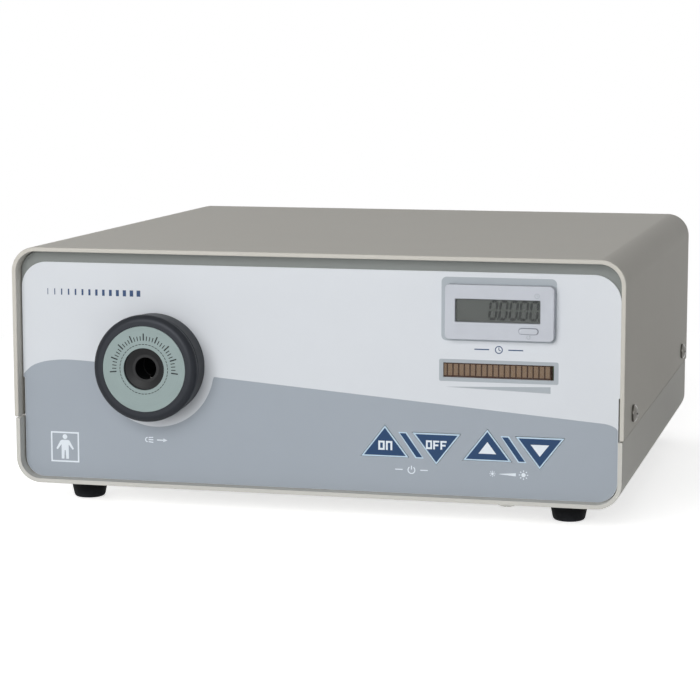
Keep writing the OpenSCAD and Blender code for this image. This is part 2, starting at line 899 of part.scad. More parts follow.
module base_chassis() {
  color([0.82, 0.83, 0.82]) in_shell() difference() {
    union() {
      along_y(0, shell_d) difference() {
        round_span(2 * base_x, 0, shell_h, bend_r);
        round_span(2 * base_in, sheet_t, shell_h, bend_r - sheet_t);
        translate([-shell_w / 2 - cut, seam_bottom])
          square([shell_w + 2 * cut, shell_h + cut]);
      }
      both_sides() along_y(panel_back + fit, rear_in) rail_profile();
      both_sides() translate([base_in - tab_w, rear_in - panel_t, sheet_t - fit])
        cube([tab_w - rail_t / 2, panel_t, rail_top - sheet_t + fit]);
    }
    side_screw_places() rotate([0, 90, 0])
      rise(-sheet_t - rail_t - cut) cylinder(r = screw_hole_r, h = rail_t + 2 * cut);
    rear_screw_places() rise(-3 * panel_t) cylinder(r = screw_hole_r, h = 3 * panel_t);
    foot_places() bore(screw_hole_r, sheet_t);
    flange_holes(sheet_t + cut);
    floor_post_places() rise(-sheet_t - cut)
      cylinder(r = small_hole_r, h = sheet_t + 2 * cut);
    translate([-bolt_x, bolt_y, -fit])
      cylinder(r1 = screw_head_r + fit, r2 = screw_r, h = sheet_t);
    vent_field(socket_x, slot_y);
    vent_field(-socket_x, slot_y);
  }
}

// Holes for the flange's two screws, from under the floor up to height z
module flange_holes(z) {
  for (x = [-bolt_x, bolt_x]) translate([x, bolt_y, -cut]) cylinder(r = screw_hole_r, h = z + cut);
}

// Half of a foot's section: a taper with a round lower edge and a well for the screw
module foot_profile() {
  difference() {
    union() {
      polygon([[0, foot_edge_r], [foot_tip_r, foot_edge_r], [foot_r, foot_h], [0, foot_h]]);
      square([foot_tip_r - foot_edge_r, foot_edge_r]);
      translate([foot_tip_r - foot_edge_r, foot_edge_r]) circle(foot_edge_r);
    }
    translate([-cut, -cut]) square([cut + screw_head_r + fit, foot_seat_h + cut]);
    translate([-cut, 0]) square([cut + screw_hole_r, foot_h + cut]);
  }
}

module rubber_feet() {
  color(black) in_shell()
    foot_places() rise(-foot_h) rotate_extrude() foot_profile();
}

module foot_screws() {
  color(steel) in_shell() foot_places() {
    rise(foot_seat_h - foot_h) mirror([0, 0, 1])
      large_screw(foot_h - foot_seat_h + sheet_t + hex_t);
    rise(sheet_t) difference() {
      hex(2 * screw_head_r, hex_t);
      bore(screw_hole_r, hex_t);
    }
  }
}

// A triangle about its own middle, grown by o on each side; up is 1 or -1
module key_outline(o, up) {
  k = (key_in_r + o) / key_in_r;
  polygon([
    [-key_base / 2 * k, -key_in_r * k * up], [key_base / 2 * k, -key_in_r * k * up],
    [0, (key_h - key_in_r) * k * up]
  ]);
}

// Height of a key's middle
function key_z(up) = up > 0 ? key_low + key_in_r : key_high - key_in_r;

// Runs over the four keys at depth y; $up is 1 for a key that points up, or else -1
module at_keys(y) {
  for (x = [power_keys_x, level_keys_x], $up = [-1, 1])
    facing(x - $up * key_pitch / 2, key_z($up), y) children();
}

// Window opening of the bar graph and opening of the hour counter's case
module front_openings(through) {
  facing(hour_x, hour_z, overlay_y) rise(-through)
    slab(case_w + 2 * fit, case_h + 2 * fit, through + cut);
}

// Bend relief where the panel's bottom flange ends
module reliefs(y0, y1) {
  for (x = [-flange_x - relief / 2, flange_x + relief / 2])
    translate([x - relief / 2, y0, sheet_t - cut]) cube([relief, y1 - y0, relief + cut]);
}

// Holes for the collar's spigot and screws, from y forwards
module collar_holes(y, l) {
  facing(socket_x, socket_z, y) {
    cylinder(r = spigot_r + fit, h = l);
    collar_screw_places() cylinder(r = small_r + fit, h = l);
  }
}

module front_panel() {
  color([0.66, 0.67, 0.67]) in_shell() difference() {
    union() {
      along_y(panel_y, panel_back) panel_outline(0, 0);
      translate([-flange_x, panel_y, sheet_t]) cube([2 * flange_x, panel_t + flange_d, panel_t]);
      for (x = stud_xs, z = stud_zs)
        facing(x, z, panel_back) mirror([0, 0, 1]) cylinder(r = stud_r, h = board_off);
    }
    front_openings(overlay_t + panel_t + cut);
    facing(array_x - array_w / 2 - fit + array_cut_w / 2, bar_z, overlay_y)
      rise(-overlay_t - panel_t - cut)
        slab(array_cut_w, array_h + 2 * fit, panel_t + 2 * cut);
    at_keys(panel_back + cut) cylinder(r = plunger_r + key_gap, h = panel_t + 2 * cut);
    collar_holes(panel_back + cut, panel_t + 2 * cut);
    reliefs(panel_y - cut, panel_back + flange_d + cut);
    flange_holes(sheet_t + panel_t + cut);
    for (x = stud_xs, z = stud_zs)
      facing(x, z, panel_back) mirror([0, 0, 1]) cylinder(r = small_hole_r, h = board_off + cut);
  }
}

module front_overlay() {
  color([0.85, 0.87, 0.88]) in_shell() difference() {
    along_y(overlay_y, panel_y) intersection() {
      panel_outline(fit, fit);
      round_span(2 * (cover_in - panel_gap - overlay_trim), -overlay_top, overlay_top,
        overlay_r);
    }
    front_openings(overlay_t + cut);
    facing(bar_x, bar_z, panel_y + cut) slab(bar_w, bar_h, overlay_t + 2 * cut);
    at_keys(panel_y + cut) linear_extrude(overlay_t + 2 * cut)
      key_outline(key_border + key_gap, $up);
    collar_holes(panel_y + cut, overlay_t + 2 * cut);
    reliefs(overlay_y - cut, panel_y + cut);
  }
}

// Bolt under the front edge, with its nut on the panel's flange
module flange_bolt() {
  color(steel) in_shell() translate([bolt_x, bolt_y, 0]) {
    mirror([0, 0, 1]) screw(screw_r, bolt_head_r, bolt_head_h, sheet_t + panel_t + hex_t);
    rise(sheet_t + panel_t) difference() {
      hex(2 * screw_head_r, hex_t);
      bore(screw_hole_r, hex_t);
    }
  }
}

// Pan heads of the rear panel, and the flush screw in the floor that mirrors the flange bolt
module panel_screws() {
  color(steel) in_shell() {
    rear_screw_places() large_screw(2 * panel_t);
    translate([-bolt_x, bolt_y, 0]) {
      cylinder(r1 = screw_head_r, r2 = screw_r, h = sheet_t - fit);
      cylinder(r = screw_r, h = sheet_t + panel_t + fit);
    }
  }
}

// A key: its pad in the overlay and its plunger, which goes through the panel into the switch
module key_cap(pair_x, up) {
  color(key_blue) in_shell()
    facing(pair_x - up * key_pitch / 2, key_z(up), overlay_y) {
      rise(-key_back) linear_extrude(key_t) key_outline(key_border, up);
      plunger_end = overlay_t + panel_t + board_off - switch_h / 3 - key_travel;
      rise(-plunger_end) cylinder(r = plunger_r, h = plunger_end - key_back / 2);
    }
}

module key_on() {
  key_cap(power_keys_x, 1);
}

module key_off() {
  key_cap(power_keys_x, -1);
}

module key_up() {
  key_cap(level_keys_x, 1);
}

module key_down() {
  key_cap(level_keys_x, -1);
}

module key_switches() {
  color(black) in_shell()
    at_keys(board_y) difference() {
      slab(switch_w, switch_w, switch_h);
      rise(switch_h / 4) cylinder(r = plunger_r + run, h = switch_h);
    }
}

module control_board() {
  color(board_green) in_shell() difference() {
    union() {
      translate([board_x0, board_y, board_z0])
        cube([board_x1 - board_x0, board_t, board_z1 - board_z0]);
      translate([ribbon_x - header_l / 2, board_y + board_t, ribbon_z - header_d / 2])
        cube([header_l, header_d, header_d]);
    }
    for (x = stud_xs, z = stud_zs)
      facing(x, z, board_y + board_t + cut) cylinder(r = small_hole_r, h = board_t + 2 * cut);
  }
}

module control_board_screws() {
  color(steel) in_shell()
    for (x = stud_xs, z = stud_zs)
      facing_back(x, z, board_y + board_t) small_screw(board_t + board_off - run);
}

module bar_graph_window() {
  color([0.45, 0.33, 0.24, 0.5]) in_shell()
    facing(bar_x, bar_z, panel_y) slab(bar_w - 2 * run, bar_h - 2 * run, bar_pane_t);
}

// Runs over the segments of the bar graph
module segment_places() {
  for (i = [0:segment_count - 1])
    translate([(i - (segment_count - 1) / 2) * segment_pitch, 0]) children();
}

module bar_graph_housing() {
  color([0.25, 0.17, 0.12]) in_shell() facing(array_x, bar_z, overlay_y + array_face) {
    deep = board_y - overlay_y - array_face;
    difference() {
      rise(-deep) slab(array_w, array_h, deep);
      rise(-segment_t) segment_places() slab(segment_w, segment_h, segment_t + cut);
    }
  }
}

module bar_graph_segments() {
  color([0.55, 0.44, 0.35]) in_shell() facing(array_x, bar_z, overlay_y + array_face)
    rise(-segment_t) segment_places()
      slab(segment_w - 2 * run, segment_h - 2 * run, segment_t);
}

module counter_case() {
  color(bezel_grey) at_counter() difference() {
    union() {
      linear_extrude(bezel_t) round_rect(bezel_w, bezel_h, bezel_r);
      rise(-case_d) slab(case_w, case_h, case_d);
    }
    lcd_floor = bezel_t - lcd_set - lcd_glass_t - lcd_t;
    translate([lcd_dx, lcd_dz, lcd_floor])
      slab(lcd_w, lcd_h, bezel_t);
    translate([reset_dx, -reset_dz, bezel_t - reset_depth()])
      linear_extrude(bezel_t + case_d) pill(reset_w + 2 * run, reset_h + 2 * run);
  }
}

// Depth of the reset button's well
function reset_depth() = bezel_t + reset_travel + 2 * fit;

module counter_window() {
  color(glass) at_counter()
    translate([lcd_dx, lcd_dz, bezel_t - lcd_set - lcd_glass_t])
      slab(lcd_w - 2 * run, lcd_h - 2 * run, lcd_glass_t);
}

module counter_display() {
  color([0.42, 0.44, 0.41]) at_counter()
    translate([lcd_dx, lcd_dz, bezel_t - lcd_set - lcd_glass_t - lcd_t])
      slab(lcd_w - 2 * run, lcd_h - 2 * run, lcd_t);
}

// Frame pushed over the case from behind, which grips it against the panel
module counter_grip() {
  color(black) in_shell() facing(hour_x, hour_z, panel_back)
    mirror([0, 0, 1]) linear_extrude(grip_d) difference() {
      round_rect(case_w + 2 * grip_t, case_h + 2 * grip_t, bezel_r);
      square([case_w + 2 * run, case_h + 2 * run], center = true);
    }
}

module reset_button() {
  color(bezel_grey) at_counter()
    translate([reset_dx, -reset_dz, 0])
      linear_extrude(bezel_t + reset_proud) pill(reset_w, reset_h);
}

// Three screws that hold the collar from behind the panel
module collar_screw_places() {
  for (a = [90, 210, 330])
    rotate(a) translate([collar_screw_pcd_r, 0, 0]) children();
}

// Half section of the collar: round front rim, groove, seat for the ring plate and stepped bore
module collar_profile() {
  difference() {
    union() {
      square([collar_r - collar_rim, collar_h]);
      square([collar_back_r, groove_z]);
      translate([0, groove_z]) square([collar_r, groove_in - collar_rim]);
      translate([collar_r - collar_rim, collar_h - collar_rim]) circle(collar_rim);
      translate([0, -overlay_t - panel_t]) square([spigot_r, collar_h]);
    }
    translate([-cut, collar_h - plate_t]) square([plate_r + fit + cut, plate_t + cut]);
    translate([-cut, shoulder]) square([sleeve_r + run + cut, collar_h]);
    translate([-cut, -overlay_t - panel_t - cut]) square([sleeve_rear_r + run + cut, collar_h]);
    translate([collar_back_r + groove_r * 0.4, groove_z]) circle(groove_r);
  }
}

// A hole from the socket's axis down to the underside, from a to b
module down_hole(r, a, b) {
  translate([0, -a, ball_z]) rotate([90, 0, 0]) cylinder(r = r, h = b - a);
}

module socket_collar() {
  color(black) at_socket(overlay_y) difference() {
    rotate_extrude() collar_profile();
    down_hole(ball_hole_r, sleeve_rear_r, set_screw_in + cut);
    down_hole(set_screw_r + run, set_screw_in, collar_r + cut);
    rise(-cut) collar_screw_places() cylinder(r = small_hole_r, h = collar_h / 2 + cut);
  }
}

module ring_plate() {
  color([0.63, 0.69, 0.68]) at_socket(overlay_y)
    rise(collar_h - plate_t) ring(plate_r, sleeve_r + fit, plate_t);
}

// Half section of the sleeve that guides the plug
module sleeve_profile() {
  difference() {
    union() {
      translate([0, shoulder]) square([sleeve_r, sleeve_face - shoulder]);
      translate([0, -sleeve_back]) square([sleeve_rear_r, sleeve_back + shoulder]);
    }
    translate([-cut, -bore_back]) square([bore_r + cut, bore_back + collar_h]);
    translate([-cut, dish_floor - 2 * ball_in + land_l])
      square([bore_r + ball_relief + cut, 2 * (ball_in - land_l)]);
    translate([-cut, -sleeve_back - cut]) square([aperture_r + cut, sleeve_back]);
    polygon([[0, dish_floor], [dish_floor_r, dish_floor], [dish_r, sleeve_face],
      [dish_r, sleeve_face + cut], [0, sleeve_face + cut]]);
  }
}

module guide_sleeve() {
  color(black) at_socket(overlay_y) difference() {
    rotate_extrude() sleeve_profile();
    down_hole(lip_hole_r, bore_r / 2, lip_y_out + cut);
    down_hole(ball_hole_r, lip_y_out, sleeve_r + cut);
  }
}

module sleeve_nut() {
  color(steel) at_socket(panel_back)
    mirror([0, 0, 1]) ring(nut_r, sleeve_rear_r + run, nut_t);
}

module collar_screws() {
  color(steel) at_socket(panel_back)
    mirror([0, 0, 1]) collar_screw_places() small_screw(overlay_t + panel_t + collar_h / 2 - fit);
}

module detent_ball() {
  color(bare) at_socket(overlay_y)
    translate([0, -ball_y, ball_z]) sphere(ball_r);
}

// Ring of a round tube at angle a along the coil, as points
function coil_ring(a, l, sides) =
  [for (s = [0:sides - 1])
    let (b = 360 * s / sides, r = coil_r + coil_wire_r * cos(b))
    [r * cos(a), r * sin(a), coil_wire_r + (l - 2 * coil_wire_r) * a / (360 * coil_turns)
      + coil_wire_r * sin(b)]];

// One unbroken helical wire of length l along Z
module coil(l) {
  sides = 5;
  rings = 14 * coil_turns;
  points = [for (i = [0:rings]) each coil_ring(360 * coil_turns * i / rings, l, sides)];
  walls = [for (i = [0:rings - 1], s = [0:sides - 1])
    let (a = i * sides + s, b = i * sides + (s + 1) % sides)
    each [[a, a + sides, b], [b, a + sides, b + sides]]];
  ends = [[for (s = [0:sides - 1]) s], [for (s = [sides - 1:-1:0]) rings * sides + s]];
  polyhedron(points, concat(walls, [ends[0]], [ends[1]]));
}

module detent_spring() {
  spring_top = ball_y + ball_r + run;
  color(steel) at_socket(overlay_y)
    translate([0, -spring_top, ball_z]) rotate([90, 0, 0]) coil(set_screw_in - run - spring_top);
}

module detent_screw() {
  color(steel) at_socket(overlay_y)
    translate([0, -set_screw_in, ball_z]) rotate([90, 0, 0]) difference() {
      cylinder(r = set_screw_r, h = set_screw_l);
      rise(set_screw_l / 2) hex(set_screw_r, set_screw_l);
    }
}

// Lens tube: a boss on the sleeve, a seat for the front lens and a flange on the optics plate
module lens_tube() {
  tube_out = tube_r + tube_wall;
  color(black) at_socket(0) mirror([0, 0, 1]) difference() {
    union() {
      rise(tube_y0) cylinder(r = tube_out, h = optics_y - tube_y0);
      rise(optics_y - tube_flange_t) cylinder(r = tube_flange_r, h = tube_flange_t);
    }
    cylinder(r = sleeve_rear_r + run, h = sleeve_end);
    cylinder(r = aperture_r + tube_wall, h = optics_y);
    rise(lens_y) cylinder(r = tube_r, h = optics_y);
    tube_screw_places() cylinder(r = small_hole_r, h = optics_y + cut);
  }
}

module tube_screw_places() {
  for (a = [0, 120, 240])
    rotate(a + 90) translate([(tube_r + tube_wall + tube_flange_r) / 2, 0, 0]) children();
}

// Plano-convex lens, flat on z = 0
module lens() {
  ball = (lens_clear_r * lens_clear_r + lens_dome * lens_dome) / (2 * lens_dome);
  cylinder(r = tube_r - run, h = lens_edge);
  intersection() {
    rise(lens_edge + lens_dome - ball) sphere(ball);
    rise(lens_edge) cylinder(r = tube_r, h = lens_dome);
  }
}

module relay_lens() {
  color(glass) at_socket(lens_y)
    mirror([0, 0, 1]) lens();
}

module lens_spacer() {
  color(black) at_socket(lens_y + lens_edge)
    mirror([0, 0, 1]) ring(tube_r - run, spacer_r, lens_space);
}

module condenser_lens() {
  color(glass) at_socket(ring_y) lens();
}

module lens_ring() {
  color(steel) at_socket(ring_y)
    mirror([0, 0, 1]) ring(tube_r - run, lens_clear_r, ring_t);
}

// Upright plate that joins lens tube, emitter and heat sink, with a foot on the floor
module optics_plate() {
  board_r = tube_r + tube_wall / 2;
  color(bare) in_shell() difference() {
    union() {
      translate([socket_x - sink_w / 2, optics_y, sheet_t])
        cube([sink_w, optics_t, socket_z + sink_w / 2 - sheet_t]);
      translate([socket_x - sink_w / 2, optics_y, sheet_t]) cube([sink_w, optics_foot, optics_t]);
    }
    facing(socket_x, socket_z, sink_y + cut) {
      cylinder(r = board_r + fit, h = optics_t + 2 * cut);
      tube_screw_places() cylinder(r = small_hole_r, h = optics_t + 2 * cut);
      sink_screw_places() cylinder(r = small_hole_r, h = optics_t + 2 * cut);
    }
    translate([socket_x - lead_gap, optics_y - cut, lead_z - 2 * wire_r])
      cube([2 * lead_gap, optics_t + 2 * cut, socket_z - lead_z]);
    foot_screw_places() bore(small_hole_r, optics_t);
  }
}

module sink_screw_places() {
  for (x = [-sink_screw, sink_screw], y = [-sink_screw, sink_screw]) translate([x, y, 0]) children();
}

// Screws of the optics plate's foot, on the chassis floor
module foot_screw_places() {
  for (x = [-sink_screw, sink_screw])
    translate([socket_x + x, optics_y + optics_foot - 2 * small_head_r, sheet_t]) children();
}

module led_board() {
  color(bare) at_socket(sink_y)
    cylinder(r = tube_r + tube_wall / 2, h = optics_t);
}

module led_emitter() {
  color([0.95, 0.9, 0.5]) at_socket(optics_y) {
    slab(emitter_w, emitter_w, emitter_t);
    intersection() {
      rise(emitter_t) sphere(emitter_r);
      rise(emitter_t) cylinder(r = 2 * emitter_r, h = emitter_r);
    }
  }
}

module heat_sink() {
  pitch = (sink_w - fin_t) / (fin_count - 1);
  color(bare) in_shell() difference() {
    union() {
      translate([socket_x - sink_w / 2, sink_y, socket_z - sink_w / 2])
        cube([sink_w, sink_base, sink_w]);
      for (i = [0:fin_count - 1])
        translate([socket_x - sink_w / 2 + i * pitch, sink_y, socket_z - sink_w / 2])
          cube([fin_t, sink_base + fin_l, sink_w]);
    }
    facing(socket_x, socket_z, sink_y + sink_base - fit) {
      tube_screw_places() cylinder(r = small_hole_r, h = sink_base);
      sink_screw_places() cylinder(r = small_hole_r, h = sink_base);
    }
  }
}

module optics_screws() {
  color(steel) in_shell() {
    facing(socket_x, socket_z, optics_y) {
      sink_screw_places() small_screw(optics_t + sink_base - 3 * fit);
      rise(tube_flange_t)
        tube_screw_places() small_screw(tube_flange_t + optics_t + sink_base - 3 * fit);
    }
    foot_screw_places() rise(optics_t) small_screw(optics_t);
  }
}

// Corners of a board on the floor
module board_corners(y0, d) {
  for (x = [floor_board_x + post_in, floor_board_x + floor_board_w - post_in],
    y = [y0 + post_in, y0 + d - post_in]) translate([x, y, 0]) children();
}

module floor_post_places() {
  rise(sheet_t) {
    board_corners(driver_y, driver_d) children();
    board_corners(power_y, power_d) children();
  }
}

// A board on its posts, with its drilled corners
module floor_board(y0, d) {
  difference() {
    translate([floor_board_x, y0, board_top - board_t]) cube([floor_board_w, d, board_t]);
    board_corners(y0, d) cylinder(r = small_hole_r, h = board_top + cut);
  }
}

// Terminal block of n poles, its left front corner at x and y, standing on a board
module terminal_block(x, y, n) {
  translate([x, y, board_top]) difference() {
    cube([n * terminal_pitch, terminal_d, terminal_h]);
    for (i = [0:n - 1])
      translate([(i + 0.5) * terminal_pitch, terminal_d / 2, terminal_h - terminal_pitch / 4])
        cylinder(r = terminal_pitch / 4, h = terminal_h);
  }
}

module driver_board() {
  driver_mid = floor_board_x + floor_board_w / 2;
  color(board_green) in_shell() {
    floor_board(driver_y, driver_d);
    terminal_block(floor_board_x + 2 * post_in, driver_y + post_in, 2);
    translate([ribbon_x - header_l / 2, driver_header_y, board_top])
      cube([header_l, header_d, header_d]);
    for (x = [-2, 2]) translate([driver_mid + x * choke_r, driver_y + driver_d * 0.66, board_top])
      ring(choke_r + choke_wire, choke_r - choke_wire, 2 * choke_wire);
  }
}

module power_board() {
  color(board_green) in_shell() {
    floor_board(power_y, power_d);
    terminal_block(inlet_x - 1.5 * terminal_pitch, power_y + power_d - terminal_d, 3);
    terminal_block(floor_board_x + 2 * post_in, power_y, 2);
  }
}

module transformer() {
  core_leg = core_d * 0.28;
  bobbin_out = core_w * 0.2;
  color([0.22, 0.22, 0.24]) in_shell() translate([core_x, core_y, board_top]) {
    difference() {
      translate([-core_w / 2, -core_d / 2, 0]) cube([core_w, core_d, core_h]);
      for (x = [-1, 1]) translate([x * core_w * 0.25, 0, core_h / 2])
        cube([core_w * 0.22, core_d + cut, core_h - 2 * core_leg], center = true);
    }
    rise(core_h / 2)
      cube([core_w * 0.9 - bobbin_out, core_d + bobbin_out, core_h - 2 * core_leg - fit], center = true);
  }
}

// The large capacitor and its two smaller neighbours
module capacitors() {
  color([0.12, 0.14, 0.25]) in_shell() for (i = [0:2]) {
    share = 1 - 0.22 * i;
    translate([floor_board_x + cap_r + post_in + i * cap_r * 0.4,
      power_y + power_d * 0.3 + i * 2.3 * cap_r, board_top]) cylinder(r = cap_r * share, h = cap_h * share);
  }
}

module board_posts() {
  color(brass) in_shell() floor_post_places() difference() {
    hex(2 * small_head_r, post_h);
    bore(small_hole_r, post_h);
  }
}

module board_screws() {
  color(steel) in_shell() floor_post_places() {
    rise(post_h + board_t) small_screw(board_t + post_h / 3);
    mirror([0, 0, 1]) rise(sheet_t) small_screw(sheet_t + post_h / 3);
  }
}

module internal_wiring() {
  pin_zs = [cavity_dz - pin_rise / 2, cavity_dz + pin_rise / 2, cavity_dz - pin_rise / 2];
  tail_y = rear_out - body_d - pin_tail;
  block_y = power_y + power_d;
  color([0.35, 0.1, 0.1]) in_shell() {
    for (i = [0:2]) {
      px = inlet_x - cavity_dx + (i - 1) * pin_pitch / 2;
      pz = inlet_z + pin_zs[i];
      bx = inlet_x + (i - 1) * terminal_pitch;
      bend_y = tail_y - 2 * wire_r;
      wire([[px, tail_y, pz], [px, bend_y, pz], [bx, bend_y, board_top + terminal_h / 2],
        [bx, block_y, board_top + terminal_h / 2]]);
    }
    for (i = [0, 1]) {
      lx = socket_x + (i - 0.5) * lead_gap;
      ly = optics_y - lead_run + (i - 0.5) * lead_gap;
      lz = board_top + terminal_h / 3 * (i + 0.8);
      edge = floor_board_x + 2 * post_in;
      turn = edge - lead_run + (i - 0.5) * lead_gap;
      top = socket_z - tube_r - tube_wall / 2;
      mid = optics_y + optics_t / 2;
      end_y = driver_y + post_in + terminal_d / 2;
      wire([[lx, mid, top], [lx, mid, lead_z], [lx, ly, lead_z], [turn, ly, lead_z],
        [turn, end_y, lz], [edge, end_y, lz]]);
    }
    for (i = [0, 1]) {
      sx = floor_board_x + 2 * post_in + (i + 0.5) * terminal_pitch;
      sz = board_top + terminal_h / 2;
      block_back = driver_y + post_in + terminal_d;
      wire([[sx, power_y, sz], [sx, power_y - lead_gap, sz],
        [sx, driver_y + driver_d, sz + terminal_h],
        [sx, block_back + lead_gap, sz], [sx, block_back, sz]]);
    }
    fan_side = fan_x + fan_w / 2;
    fan_low = fan_z - fan_w / 2 + lead_run;
    fan_turn = (fan_side + floor_board_x) / 2;
    wire([[fan_side, rear_in - fan_d / 2, fan_low], [fan_turn, rear_in - fan_d / 2, fan_low],
      [fan_turn, power_y, lead_z],
      [floor_board_x - lead_run / 2, driver_y + driver_d / 2, board_top - board_t / 2],
      [floor_board_x, driver_y + driver_d / 2, board_top - board_t / 2]]);
    ribbon();
  }
}

// Flat cable from the control board down to the driver board
module ribbon() {
  y0 = board_y + board_t + header_d;
  y1 = y0 + ribbon_run;
  y2 = driver_header_y;
  z2 = board_top + header_d / 2;
  translate([ribbon_x - ribbon_w / 2, 0, 0]) rotate([90, 0, 90]) linear_extrude(ribbon_w)
    polygon([[y0, ribbon_z], [y1, ribbon_z], [y1, z2], [y2, z2], [y2, z2 - ribbon_t],
      [y1 - ribbon_t, z2 - ribbon_t], [y1 - ribbon_t, ribbon_z - ribbon_t], [y0, ribbon_z - ribbon_t]]);
}

module rear_panel() {
  color(cover_grey) in_shell() difference() {
    along_y(rear_in, rear_out) panel_outline(0, 0);
    facing_back(fan_x, fan_z, rear_in - cut) {
      cylinder(r = fan_r, h = panel_t + 2 * cut);
      fan_screw_places() cylinder(r = screw_r + fit, h = panel_t + 2 * cut);
    }
    facing_back(inlet_x, inlet_z, rear_in - cut)
      slab(body_w + 2 * fit, body_h + 2 * fit, panel_t + 2 * cut);
    facing_back(earth_x, earth_z, rear_in - cut) cylinder(r = earth_r + run, h = panel_t + 2 * cut);
    rear_screw_places() rise(-panel_t - cut) cylinder(r = screw_r + fit, h = panel_t + 2 * cut);
  }
}

module fan_screw_places() {
  for (x = [-fan_screw, fan_screw], y = [-fan_screw, fan_screw]) translate([x, y, 0]) children();
}

// Fan frame seen from behind: its rear face at z = 0, the box inwards
module fan_frame() {
  color(black) in_shell() facing_back(fan_x, fan_z, rear_in) difference() {
    union() {
      rise(-fan_d) difference() {
        linear_extrude(fan_d) round_rect(fan_w, fan_w, fan_screw_in);
        bore(fan_r, fan_d);
      }
      rise(-spoke_t) cylinder(r = hub_r, h = spoke_t);
      for (i = [0:spoke_count - 1]) rotate(45 + i * 360 / spoke_count)
        translate([hub_r / 2, -spoke_w / 2, -spoke_t])
          cube([fan_r - hub_r / 2 + cut, spoke_w, spoke_t]);
    }
    rise(-spoke_t - cut) cylinder(r = shaft_r + run, h = spoke_t);
    rise(-fan_d - cut) fan_screw_places() cylinder(r = screw_hole_r, h = fan_d + 2 * cut);
  }
}

// Section of a blade: a thin arc across the fan's depth, its middle at the origin
module blade_section() {
  sag = sqrt(blade_camber_r * blade_camber_r - blade_chord * blade_chord / 4);
  rotate(blade_pitch) intersection() {
    translate([0, -sag]) difference() {
      circle(blade_camber_r + blade_t / 2);
      circle(blade_camber_r - blade_t / 2);
    }
    square([blade_chord, blade_chord], center = true);
  }
}

// Rotor with swept blades on a round hub; the shaft turns in the motor plate
module fan_rotor() {
  color(black) in_shell() facing_back(fan_x, fan_z, rear_in)
    rise(-rotor_front - rotor_l) {
      cylinder(r = hub_r, h = rotor_l);
      rise(rotor_l - cut) cylinder(r = shaft_r, h = rotor_front + cut - spoke_t / 2);
      intersection() {
        ring(fan_r - tip_gap, hub_r - blade_t, rotor_l);
        for (i = [0:blade_count - 1]) rotate(i * 360 / blade_count)
          translate([hub_r - blade_t, 0, rotor_l / 2]) rotate(-blade_lean)
            rotate([90, 0, 90]) linear_extrude(fan_r) blade_section();
      }
    }
}

// Wire guard: rings, four arms that bend down to the panel, and an eyelet under each screw
module fan_guard() {
  arm_z = guard_up - guard_wire_r;
  outer = guard_ring_r + (guard_rings - 1) * guard_pitch;
  eye = fan_screw * sqrt(2);
  knee = outer + 2 * guard_wire_r;
  color(bare) in_shell() facing_back(fan_x, fan_z, rear_out) difference() {
    union() {
      for (i = [0:guard_rings - 1]) rotate_extrude()
        translate([guard_ring_r + i * guard_pitch, guard_up]) circle(guard_wire_r, $fn = 16);
      for (a = [45:90:315], $fn = [16]) rotate(a) {
        rod([guard_ring_r, 0, arm_z], [knee, 0, arm_z], guard_wire_r);
        translate([knee, 0, arm_z]) sphere(knob * guard_wire_r);
        rod([knee, 0, arm_z], [eye - screw_head_r - fit, 0, eyelet_t / 2], eyelet_t / 2 - fit);
        translate([eye, 0, 0]) cylinder(r = eyelet_r, h = eyelet_t);
      }
    }
    rise(-cut) fan_screw_places() cylinder(r = screw_r + fit, h = guard_up + cut);
  }
}

module fan_screws() {
  color(steel) in_shell() facing_back(fan_x, fan_z, rear_out)
    rise(eyelet_t) fan_screw_places() large_screw(eyelet_t + panel_t + fan_d);
}

// Outline of the connector's cavity, grown by o
module cavity_outline(o) {
  w = cavity_w / 2 + o;
  h = cavity_h / 2 + o;
  polygon([[-w, -h], [w, -h], [w, h - cavity_cut], [w - cavity_cut, h],
    [-w + cavity_cut, h], [-w, h - cavity_cut]]);
}

// Runs over the three pins of the inlet
module pin_places() {
  translate([cavity_dx, cavity_dz, 0]) {
    for (x = [-1, 1]) translate([x * pin_pitch / 2, -pin_rise / 2, 0]) children();
    translate([0, pin_rise / 2, 0]) children();
  }
}

module mains_inlet() {
  color(black) at_inlet() difference() {
    union() {
      linear_extrude(inlet_t) round_rect(inlet_w, inlet_h, inlet_t);
      rise(-body_d) slab(body_w, body_h, body_d);
    }
    translate([cavity_dx, cavity_dz, inlet_t - cavity_d])
      linear_extrude(cavity_d + cut) cavity_outline(0);
    rise(-body_d - cut) pin_places() slab(pin_w + 2 * run, pin_h + 2 * run, body_d);
    translate([cavity_dx, -drawer_dz, inlet_t - drawer_l - fit])
      slab(drawer_w + 2 * fit, drawer_h + 2 * fit, drawer_l + fit + cut);
    translate([-rocker_dx, 0, inlet_t - rocker_set]) {
      rise(-rocker_r - fit)
        slab(rocker_w + 4 * fit, 2 * rocker_r + 4 * fit, 2 * rocker_r);
      rotate([0, 90, 0]) cylinder(r = pivot_r + run, h = rocker_w + 2 * pivot_l + 2 * fit, center = true);
    }
  }
}

module inlet_pins() {
  pin_l = inlet_t - pin_set + body_d + pin_tail;
  color(brass) at_inlet()
    rise(-body_d - pin_tail) pin_places() slab(pin_w, pin_h, pin_l);
}

// Drawer with a tray for two fuses across it and a lip to pull it by
module fuse_drawer() {
  color(black) at_inlet()
    translate([cavity_dx, -drawer_dz, inlet_t - drawer_l]) difference() {
      union() {
        slab(drawer_w, drawer_h, drawer_l);
        translate([0, -drawer_h / 4, drawer_l])
          slab(drawer_w / 2, drawer_h / 2, drawer_lip);
      }
      for (s = fuse_shares)
        translate([0, fuse_y, s * drawer_l]) rotate([0, 90, 0]) {
          cylinder(r = fuse_r + run, h = fuse_l + 2 * run, center = true);
          translate([0, fuse_r, 0])
            cube([2 * fuse_r + 2 * run, 2 * fuse_r, fuse_l + 2 * run], center = true);
        }
    }
}

